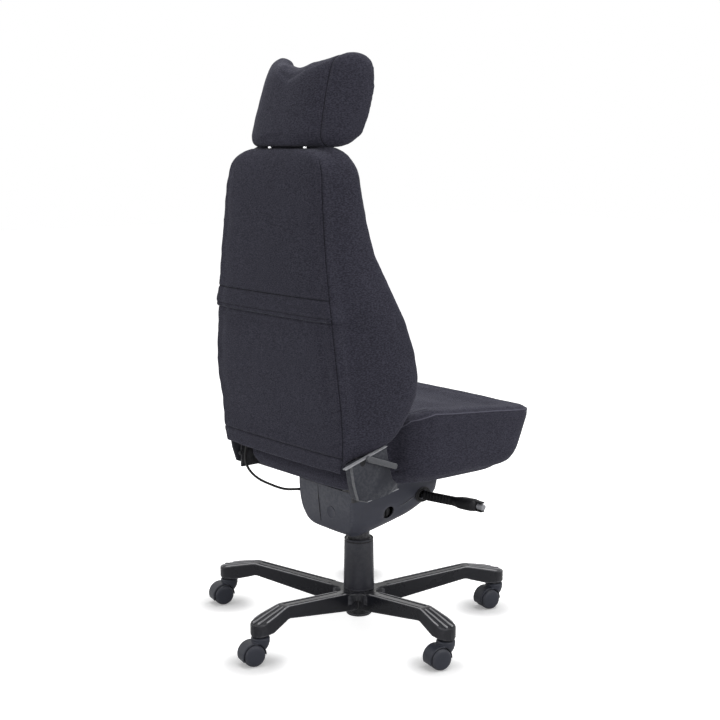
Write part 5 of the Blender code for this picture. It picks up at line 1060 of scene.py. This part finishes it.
def makeCasters(opts, base):
    hood, wheel = keepShape(hoodShape(opts)), keepShape(wheelShape(opts))
    for number in range(base["arms"]):
        stem = stemPlace(base, number)
        label = str(number + 1)

        def placed(mesh, flip=None):
            bm = copyShape(mesh)
            if flip is not None:  # the spun wheel stands on its axle, outside at the given side
                turnShape(bm, math.pi / 2 * flip, "Y")
                moveShape(bm, (0.0, opts["trail"], opts["wheelRadius"]))
            turnShape(bm, math.radians(opts["turn"]))
            return moveShape(bm, stem)

        makePiece("casterHood_" + label, placed(hood), "caster_" + label, finishes["casterNylon"],
                  ["caster_" + label + "_hood"], 180.0)
        for side, flip in (("left", 1), ("right", -1)):
            name = "wheel_" + label + "_" + side
            makePiece("casterWheel_" + label + "_" + side, placed(wheel, flip), name, finishes["casterNylon"],
                      [name], 32.0)
    bpy.data.meshes.remove(hood)
    bpy.data.meshes.remove(wheel)


makeCasters(casterSet, baseSet)
print("casters made")


# column covers

columnSet = {"top": 0.2055, "foot": 0.0803, "rimRadius": 0.0350, "footRadius": 0.0366,
             "ring": (0.1984, 0.2008), "ringRadius": 0.0338, "groove": (0.0842, 0.0852), "upperTop": 0.2045,
             "upperFoot": 0.0880, "upperRadius": 0.0310, "upperBore": 0.0263, "upperWall": 0.0020}


def makeColumn(opts):
    top, rim, foot, wide = opts["top"], opts["rimRadius"], opts["foot"], opts["footRadius"]
    (ringLow, ringHigh), (grooveLow, grooveHigh) = opts["ring"], opts["groove"]
    inset = opts["ringRadius"]
    lower = spunShape([(rim - 0.0024, top), (rim - 0.0010, top), (rim, top - 0.0009),
                       (rim + 0.0001, ringHigh + 0.0004), (inset, ringHigh), (inset, ringLow),
                       (rim, ringLow - 0.0004), (wide, grooveHigh + 0.0008), (wide - 0.0004, grooveHigh),
                       (wide - 0.0004, grooveLow), (wide, grooveLow - 0.0008), (wide, foot),
                       (wide - 0.0020, foot)], 72, closed=True)
    easeEdges(lower, 0.0003, 20.0, 2)
    # black ring set in the groove under the rim, standing in for the shade in it: painted shade
    ring = spunShape([(inset - 0.0004, ringHigh), (inset + 0.0008, ringHigh), (inset + 0.0008, ringLow),
                      (inset - 0.0004, ringLow)], 72, closed=True)
    makePiece("columnGrooveShade", ring, "base", finishes["blackPlasticAndShade"], (), 30.0)
    makePiece("columnCoverLower", lower, "base", finishes["columnCover"],
              ["column_cover_lower"], 30.0)
    top, foot, wide = opts["upperTop"], opts["upperFoot"], opts["upperRadius"]
    bore, wall = opts["upperBore"], opts["upperWall"]
    upper = spunShape([(bore, top), (wide - 0.0010, top), (wide, top - 0.0009), (wide, foot + 0.0010),
                       (wide - 0.0006, foot), (wide - wall, foot), (wide - wall, top - wall),
                       (bore, top - wall)], 72, closed=True)
    makePiece("columnCoverUpper", upper, "mechanism", finishes["columnCover"],
              ["column_cover_upper"], 30.0)


makeColumn(columnSet)


# mechanism housing

housingSet = {
    "half": 0.0995, "top": 0.350, "rear": 0.105, "front": -0.165, "wall": 0.003, "lean": 0.010,
    # place along Y, heights of the shoulder, waist and floor, half widths at the waist and floor
    "stations": ((-0.165, 0.3324, 0.3109, 0.2942, 0.0896, 0.0638),
                 (-0.1306, 0.3265, 0.2918, 0.2763, 0.0862, 0.0585),
                 (-0.0863, 0.3121, 0.2739, 0.2524, 0.0845, 0.0510),
                 (-0.042, 0.2978, 0.2667, 0.2368, 0.0830, 0.0440),
                 (0.042, 0.2918, 0.2572, 0.2249, 0.0840, 0.0470),
                 (0.0811, 0.2966, 0.2655, 0.2345, 0.0880, 0.0600),
                 (0.105, 0.3014, 0.2750, 0.2470, 0.0925, 0.0720)),
    "seamX": 0.0235, "seamRadius": 0.0009, "bossX": -0.0195, "bossZ": 0.288, "bossRadius": 0.0155,
    "crease": (-0.096, -0.042),  # behind the height lever; a light line along this ridge is a painted highlight
    "columnHole": 0.0264, "knobHole": 0.0155, "knobPlace": (0.0, -0.012, 0.284),
    "leverSlot": ((-0.16, -0.1235, 0.3005), (-0.060, -0.1065, 0.3245)),
    "bootPlace": (-0.0992, -0.115, 0.3110),
}
housingRows = smoothRows(housingSet["stations"], 5)


def leanedBack(opts, y, z):  # the rear wall leans in towards its foot
    share = max(0.0, (opts["top"] - z) / 0.1)
    return y - opts["lean"] * smoothStep(0.02, 0.105, y) * share ** 1.6


def housingShape(opts):
    half, top, front, rear = opts["half"], opts["top"], opts["front"], opts["rear"]
    places = [(front, 0.009), (front + 0.0012, 0.0045), (front + 0.0045, 0.0012)]  # and their insets
    places += [(front + 0.009 + step * (rear - front - 0.021) / 24, 0.0) for step in range(25)]
    places += [(rear - 0.0045, 0.0006), (rear - 0.0013, 0.0024), (rear, 0.0056)]
    rings = []
    for y, inset in places:
        shoulder, waist, floor, waistHalf, floorHalf = readTable(housingRows, y)
        line = smoothLine([(half, 0, top), (half, 0, (top + shoulder) / 2), (half - 0.001, 0, shoulder),
                           (waistHalf, 0, waist), (floorHalf, 0, floor + 0.002),
                           (floorHalf * 0.45, 0, floor - 0.001), (0.0, 0, floor - 0.002)], 4)
        side = []
        for point in line:
            rise = point.z + inset * smoothStep(shoulder, floor, point.z)
            side.append((point.x * (1.0 - inset / half), leanedBack(opts, y, rise), rise))
        rings.append(side + [(-x, place, z) for x, place, z in side[-2::-1]])
    bm = loftShape(rings)
    lids = [face for face in bm.faces if min(vert.co.z for vert in face.verts) > top - 0.0005]
    bmesh.ops.delete(bm, geom=lids, context="FACES")
    piece = workObject(bm)
    wall = piece.modifiers.new("wall", "SOLIDIFY")
    wall.thickness = opts["wall"]
    wall.offset = -1.0
    bm = takeShape(piece)
    wide = opts["columnHole"]
    column = spunShape([(0.0, 0.19), (wide, 0.19), (wide, 0.29), (0.0, 0.29)], 64)
    wide = opts["knobHole"]
    knob = spunShape([(0.0, -0.16), (wide, -0.16), (wide, -0.060), (0.0, -0.060)], 48, "X", opts["knobPlace"])
    return cutShape(bm, [column, knob, boxShape(*opts["leverSlot"])])


def makeHousing(opts):
    makePiece("mechanismHousing", housingShape(opts), "mechanism", finishes["greyMoulding"],
              ["housing_left", "housing_right"], 38.0)
    # dark line down the rear face where the halves meet, standing in for the shade of the split: painted
    # shade
    floor = opts["stations"][-1][3]
    line = [(opts["seamX"], leanedBack(opts, opts["rear"], z) - 0.0004, z)
            for z in [opts["top"] - 0.001 - step * (opts["top"] - floor - 0.012) / 20 for step in range(21)]]
    seam = tubeShape(line, [opts["seamRadius"]] * len(line), 8)
    # light line along the ridge behind the height lever: a painted highlight
    start, end = opts["crease"]
    places = [start + (end - start) * step / 12 for step in range(13)]
    crease = tubeShape([(-opts["half"] + 0.0014, y, readTable(housingRows, y)[0] - 0.003) for y in places],
                       [0.0004 + 0.0008 * math.sin(math.pi * step / 12) for step in range(13)], 8)
    makePiece("housingRidgeShine", crease, "mechanism", finishes["leverGreyAndShine"], (), 60.0)
    makePiece("housingSplitShade", seam, "mechanism", finishes["blackPlasticAndShade"], (), 60.0)
    wide, z = opts["bossRadius"], opts["bossZ"]
    boss = spunShape([(0.0, -0.0004), (wide - 0.0012, -0.0004), (wide - 0.0006, -0.0001), (wide, -0.0002),
                      (wide + 0.0004, -0.0012), (0.0, -0.0016)], 56, "Y")
    turnShape(boss, -0.12, "X")
    moveShape(boss, (opts["bossX"], leanedBack(opts, opts["rear"], z) - 0.00005, z))
    makePiece("housingBoss", boss, "mechanism", finishes["greyMoulding"], (), 30.0)
    boot = spunShape([(0.0100, 0.0), (0.0155, 0.0), (0.0165, 0.0012), (0.0160, 0.0036), (0.0138, 0.0046),
                      (0.0128, 0.0038), (0.0118, 0.0052), (0.0108, 0.0062), (0.0100, 0.0058)],
                     48, "X", closed=True)
    stretchShape(boot, (-0.62, 1.45, 1.12))  # room for the lever to lift
    moveShape(boot, opts["bootPlace"])
    makePiece("leverBoot", boot, "mechanism", finishes["blackPlasticAndShade"], (), 35.0)


makeHousing(housingSet)
print("housing made")


# recliner covers and release lever

reclinerSet = {"y": 0.150, "z": 0.425, "hub": 0.026, "inner": 0.2203, "rightOuter": 0.2455,
               "leftOuter": 0.2260, "trim": 0.005, "edge": 0.0032, "stripEnds": (0.239, 0.226, 0.124),
               "stripAcross": (-0.2362, -0.2478), "stripHeight": 0.0022, "pivot": (0.1910, 0.4630),
               "bolt": (0.2107, 0.1924, 0.4020), "leverY": 0.178, "leverZ": 0.4705, "leverLength": 0.082,
               "leverHalf": 0.0068, "leverDepth": 0.0095, "droop": 20.0}


def footEdge(y):  # height of the back's foot, under which the covers sit
    return backFoot["low"] + footRise(y)


def coverOutline(opts, trim):
    hub, y, z = opts["hub"], opts["y"], opts["z"]
    rear = y + 2.77 * hub - trim
    outline = [(place, footEdge(place) - 0.0006) for place in (rear, y - hub)]
    for back, up in ((-1.42, 0.5), (-1.69, -0.385), (-2.58, -1.46), (1.04, -1.96), (2.04, -1.65),
                     (2.46, -0.346)):
        outline.append((y + back * hub - (trim if back > 2 else 0.0), z + up * hub))
    return outline


def coverShape(opts, side, outer, trim):
    bm = plateShape(coverOutline(opts, trim), side * opts["inner"], side * outer)
    front = (opts["y"] - 2.0 * opts["hub"], opts["z"] - 0.76 * opts["hub"])
    below = (opts["y"] - 1.0 * opts["hub"], opts["z"] - 1.68 * opts["hub"])
    across = Vector((0.0, below[1] - front[1], -(below[0] - front[0]))).normalized()
    geom = bm.verts[:] + bm.edges[:] + bm.faces[:]
    bmesh.ops.bisect_plane(bm, geom=geom, dist=0.00001, plane_co=(0.0, *front), plane_no=across)
    corner = min(bm.verts, key=lambda vert: vert.co.y + vert.co.z - abs(vert.co.x))
    if abs(outer) - opts["inner"] > 0.01:
        corner.co.x -= side * 0.008  # the lower front corner falls away from a diagonal crease
    easeEdges(bm, min(opts["edge"], (outer - opts["inner"]) * 0.45), 14.0, 3)
    return bm


def makeRecliner(opts):
    for label, side, outer, trim in (("right", -1, opts["rightOuter"], 0.0),
                                     ("left", 1, opts["leftOuter"], opts["trim"])):
        bm = coverShape(opts, side, outer, trim)
        makePiece("reclinerCover_" + label, bm, "back", finishes["coverMoulding"],
                  ["recliner_cover_" + label], 28.0)
    # light strip along the covers' top edge: a painted highlight
    ends, height = opts["stripEnds"], opts["stripHeight"]
    outline = [(y, footEdge(y)) for y in ends] + [(y, footEdge(y) + height) for y in ends[::-1]]
    strip = plateShape(outline, *opts["stripAcross"])
    easeEdges(strip, 0.0008, 40.0, 2)
    makePiece("coverTopShine", strip, "back", finishes["paleGreyAndShine"], (), 30.0)
    hub, outer = opts["hub"], -opts["rightOuter"]
    rims = bmesh.new()
    # light strip along the right cover's rear edges: a painted highlight
    rear = [(2.77, 1.30), (2.46, -0.346), (2.04, -1.65), (1.04, -1.96)]
    rear = [(opts["y"] + back * hub + 0.0004, opts["z"] + up * hub - 0.0003) for back, up in rear]
    rear += [(y - 0.0016, z + 0.0014) for y, z in rear[::-1]]
    strip = plateShape(rear, outer + 0.0062, outer - 0.0005)
    makePiece("coverEdgeShine", strip, "back", finishes["leverGreyAndShine"], (), 30.0)
    # light lines along the cover's lower edge and its diagonal crease: painted highlights
    for run in (((1.04, -1.89), (-2.40, -1.42)), ((-1.95, -0.78), (-1.0, -1.62))):
        line = [(outer + (0.0032 if back < -2.2 else 0.0002), opts["y"] + back * hub, opts["z"] + up * hub)
                for back, up in run]
        addShape(rims, tubeShape(line, [0.0011] * len(line), 8))
    makePiece("coverRims", rims, "back", finishes["paleGreyAndShine"], (), 40.0)
    # black dish on the pivot in place of its shaded hole: painted shade
    hole = spunShape([(0.0, 0.0002), (0.0050, 0.0003), (0.0058, 0.0007), (0.0068, 0.0007), (0.0074, 0.0002),
                      (0.0074, -0.002), (0.0, -0.002)], 32, "X")
    stretchShape(hole, (-1.0, 1.0, 1.0))
    moveShape(hole, (outer, *opts["pivot"]))
    makePiece("pivotHoleShade", hole, "back", finishes["blackPlasticAndShade"], (), 30.0)
    for label, side in (("right", -1), ("left", 1)):
        x, y, z = opts["bolt"]
        bolt = spunShape([(0.0, 0.0058), (0.0024, 0.0058), (0.0026, 0.0046), (0.0050, 0.0046),
                          (0.0056, 0.0040), (0.0056, 0.0006), (0.0064, 0.0004), (0.0064, -0.0004),
                          (0.0, -0.0004)], 6, "Y", (side * x, y, z))
        easeEdges(bolt, 0.0004, 25.0, 2)
        makePiece("plateBolt_" + label, bolt, "seat", finishes["blackSteel"], (), 30.0)
    half, length = opts["leverHalf"], opts["leverLength"]
    turns = [math.radians(-90 + 15 * step) for step in range(13)]
    outline = [(half * math.cos(turn), half * math.sin(turn)) for turn in turns]
    outline += [(-length + 0.004, half * 0.92), (-length, half * 0.55), (-length, -half * 0.55),
                (-length + 0.004, -half * 0.92)]
    inner = outer - 0.0003
    bm = plateShape(outline, inner, inner - opts["leverDepth"])
    easeEdges(bm, 0.0022, 40.0, 3)
    turnShape(bm, math.radians(opts["droop"]), "X")
    moveShape(bm, (0.0, opts["leverY"], opts["leverZ"]))
    makePiece("reclinerLever", bm, "recliner_lever", finishes["leverGreyAndShine"],
              ["recliner_lever"], 28.0)


makeRecliner(reclinerSet)


# height lever

leverSet = {"y": -0.115, "z": 0.3095, "kink": -0.102, "rise": 0.073, "start": -0.106, "neck": -0.205,
            "end": -0.286, "halfWide": 0.0080, "halfHigh": 0.0110, "paddleWide": 0.0150, "paddleHigh": 0.0140,
            "forkGap": 0.0098, "knobRadius": 0.0074, "knobLength": 0.0190}


def handleShape(opts):
    bm = bmesh.new()
    bmesh.ops.create_circle(bm, cap_ends=True, segments=32, radius=1.0)
    turnShape(bm, math.pi / 2, "Y")
    face = bm.faces[:][0]
    stations = [(opts["start"], 0.80, 0.80), (opts["start"] - 0.002, 1.0, 1.0)]
    place = opts["start"] - 0.010
    while place > opts["neck"] + 0.004:  # grip rings along the shaft
        stations += [(place, 1.0, 1.0), (place - 0.0012, 0.93, 0.95), (place - 0.0036, 0.93, 0.95),
                     (place - 0.0048, 1.0, 1.0)]
        place -= 0.0105
    stations.append((opts["neck"], 1.0, 1.0))
    wide, high = opts["paddleWide"] / opts["halfWide"], opts["paddleHigh"] / opts["halfHigh"]
    for share, fill in ((0.10, 0.12), (0.20, 0.45), (0.30, 0.80), (0.42, 0.97), (0.60, 1.0), (0.80, 0.98),
                        (0.93, 0.90), (0.985, 0.72), (1.0, 0.5)):
        reach = opts["neck"] + (opts["end"] - opts["neck"]) * share
        stations.append((reach, 1 + (wide - 1) * fill if share < 0.9 else wide * fill,
                         1 + (high - 1) * fill if share < 0.9 else high * fill))
    angles = [math.atan2(vert.co.z, vert.co.y) for vert in face.verts]

    def squared(share):  # a round section made squarer
        return math.copysign(abs(share) ** 0.72, share)

    def setRing(verts, station):
        reach, wideScale, highScale = station
        climb = opts["z"] + opts["rise"] * max(0.0, opts["kink"] - reach)
        for vert, angle in zip(verts, angles):
            across, up = squared(math.cos(angle)), squared(math.sin(angle))
            vert.co = (reach, opts["y"] + across * opts["halfWide"] * wideScale,
                       climb + up * opts["halfHigh"] * highScale)

    ring = list(face.verts)
    setRing(ring, stations[0])
    for station in stations[1:]:
        grown = bmesh.ops.extrude_face_region(bm, geom=[face])["geom"]
        face = next(item for item in grown if isinstance(item, bmesh.types.BMFace))
        found = {}
        for vert in face.verts:
            found[min(range(len(ring)), key=lambda index: (vert.co - ring[index].co).length_squared)] = vert
        ring = [found[index] for index in range(len(ring))]
        setRing(ring, station)
    bmesh.ops.recalc_face_normals(bm, faces=bm.faces)
    return bm


def makeLever(opts):
    makePiece("heightLeverGrip", handleShape(opts), "height_lever", finishes["blackPlasticAndShade"],
              ["height_lever_handle"], 45.0)
    tip = opts["z"] + opts["rise"] * (opts["kink"] - opts["end"])
    prongs = bmesh.new()
    for up in (-1, 1):  # fork that holds the knob
        prong = boxShape((opts["end"] - 0.0150, -0.0062, -0.0019), (opts["end"] + 0.0060, 0.0062, 0.0019))
        easeEdges(prong, 0.0015, 40.0, 3)
        addShape(prongs, moveShape(prong, (0.0, opts["y"], tip + up * opts["forkGap"])))
    makePiece("leverFork", prongs, "height_lever", finishes["blackPlasticAndShade"], (), 35.0)
    wide, length = opts["knobRadius"], opts["knobLength"]
    knob = spunShape([(0.0, 0.0), (wide - 0.0008, 0.0), (wide, 0.0008), (wide, 0.0050),
                      (wide - 0.0006, 0.0056), (wide - 0.0006, 0.0068), (wide, 0.0074), (wide, 0.0130),
                      (wide - 0.0008, length - 0.0020), (wide - 0.0026, length - 0.0004), (0.0, length)],
                     36, "X")
    turnShape(knob, math.pi, "Z")
    moveShape(knob, (opts["end"] - 0.0003, opts["y"], tip))
    makePiece("tiltLockKnob", knob, "tilt_lock", finishes["paleGreyAndShine"],
              ["tilt_lock_knob"], 30.0)


makeLever(leverSet)


# headrest posts

def makePosts(opts):
    for label, side in (("left", 1), ("right", -1)):
        place = (side * opts["x"], opts["y"], 0.0)
        top, foot, wide = opts["top"], opts["foot"], opts["radius"]
        post = spunShape([(0.0, top), (wide - 0.0006, top), (wide, top - 0.0006), (wide, foot + 0.0010),
                          (wide - 0.0010, foot), (0.0, foot)], 32, "Z", place)
        makePiece("headrestPost_" + label, post, "headrest", finishes["chromePlate"],
                  ["headrest_rod_" + label], 30.0)
        top, foot, wide, bore = opts["guideTop"], opts["guideFoot"], opts["guideRadius"], opts["guideBore"]
        guide = spunShape([(bore, top - 0.0004), (bore + 0.0005, top), (wide - 0.0008, top),
                           (wide, top - 0.0006), (wide, foot), (bore, foot)], 40, "Z", place, closed=True)
        makePiece("headrestGuide_" + label, guide, "back", finishes["blackPlasticAndShade"],
                  ["headrest_guide_" + label], 30.0)


makePosts(postSet)


# finishes of the CAD nodes that stay as they are

nodeFinishes = {
    "blackPlasticAndShade": ["guide_bush", "tension_knob"],
    "blackSteel": ["gas_lift_tube", "gas_cylinder", "tilt_chassis", "height_lever_rod", "seat_carrier",
                   "seat_plate_left", "seat_plate_right", "back_arm_left", "back_arm_right"],
    "brightSteel": ["thrust_bearing", "piston_rod", "retaining_clip", "valve_pin", "tilt_shaft", "lever_pin",
                    "recliner_pin_left", "recliner_pin_right"]
                   + ["caster_%d_stem" % (n + 1) for n in range(baseSet["arms"])],
}
for finishName, nodeNames in nodeFinishes.items():
    for nodeName in nodeNames:
        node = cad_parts[nodeName]
        node.data.materials.clear()
        node.data.materials.append(finishes[finishName])


# floor and light

# the glow taken away round each caster makes a painted shade spot there
stageSet = {"floor": (0.86, 0.86, 0.86, 1.0), "glow": 0.78, "shadeSpotDim": 0.56, "spotNear": 0.035,
            "spotFar": 0.115, "spotTrail": 0.020, "sky": 0.36}


def makeStage(opts):
    bm = bmesh.new()
    bmesh.ops.create_grid(bm, x_segments=1, y_segments=1, size=14.0)
    mesh = bpy.data.meshes.new("studioFloor")
    bm.to_mesh(mesh)
    bm.free()
    floor = bpy.data.objects.new("studioFloor", mesh)
    floor.location.z = -0.0002
    scene.collection.objects.link(floor)
    finish, tree, shader, place = newFinish("paleFloor")
    shader.inputs["Base Color"].default_value = opts["floor"]
    shader.inputs["Roughness"].default_value = 0.85
    shader.inputs["Specular IOR Level"].default_value = 0.1
    seen = addNode(tree, "ShaderNodeLightPath").outputs["Is Camera Ray"]
    glow = opts["glow"]
    for number in range(baseSet["arms"]):  # less glow round each caster, a painted shade spot in which its real contact shadow shows
        spot = columnPlace + stemPlace(baseSet, number) + Vector((0.0, opts["spotTrail"], 0.0))
        reach = addNode(tree, "ShaderNodeVectorMath", {"operation": "DISTANCE"}, {0: place, 1: spot})
        shadeDim = spread(tree, reach.outputs["Value"], opts["spotNear"], opts["spotFar"], opts["shadeSpotDim"], 0.0)
        glow = calc(tree, "SUBTRACT", glow, shadeDim)
    shader.inputs["Emission Color"].default_value = (1.0, 1.0, 1.0, 1.0)
    tree.links.new(calc(tree, "MULTIPLY", seen, glow), shader.inputs["Emission Strength"])
    mesh.materials.append(finish)

    world = bpy.data.worlds.new("studioWorld")
    scene.world = world
    world.use_nodes = True
    tree = world.node_tree
    sky = tree.nodes["Background"]
    sky.inputs["Color"].default_value = (1.0, 1.0, 1.0, 1.0)
    path = addNode(tree, "ShaderNodeLightPath").outputs
    shown = calc(tree, "MAXIMUM", path["Is Camera Ray"], calc(tree, "MAXIMUM", path["Is Glossy Ray"],
                                                             path["Is Transmission Ray"]))
    strength = calc(tree, "ADD", calc(tree, "MULTIPLY", shown, 1.0 - opts["sky"]), opts["sky"])
    tree.links.new(strength, sky.inputs["Strength"])


lightSets = {
    "topSoftbox": {"place": (0.0, -0.6, 3.4), "target": (0.0, 0.0, 0.4), "size": (3.2, 3.2), "power": 86},
    "rightSoftbox": {"place": (-3.2, -0.6, 1.9), "target": (0.0, 0.0, 0.7), "size": (2.4, 2.4), "power": 38},
    "leftSoftbox": {"place": (0.8, 3.4, 1.7), "target": (0.0, 0.0, 0.6), "size": (2.4, 2.0), "power": 28},
}


def addLight(name, opts):
    place, target = Vector(opts["place"]), Vector(opts["target"])
    lamp = bpy.data.lights.new(name, "AREA")
    lamp.shape = "RECTANGLE"
    lamp.size, lamp.size_y = opts["size"]
    lamp.energy = opts["power"]
    light = bpy.data.objects.new(name, lamp)
    light.location = place
    light.rotation_euler = (target - place).to_track_quat("-Z", "Y").to_euler()
    scene.collection.objects.link(light)


makeStage(stageSet)
for lightName, lightSet in lightSets.items():
    addLight(lightName, lightSet)
print("stage set")
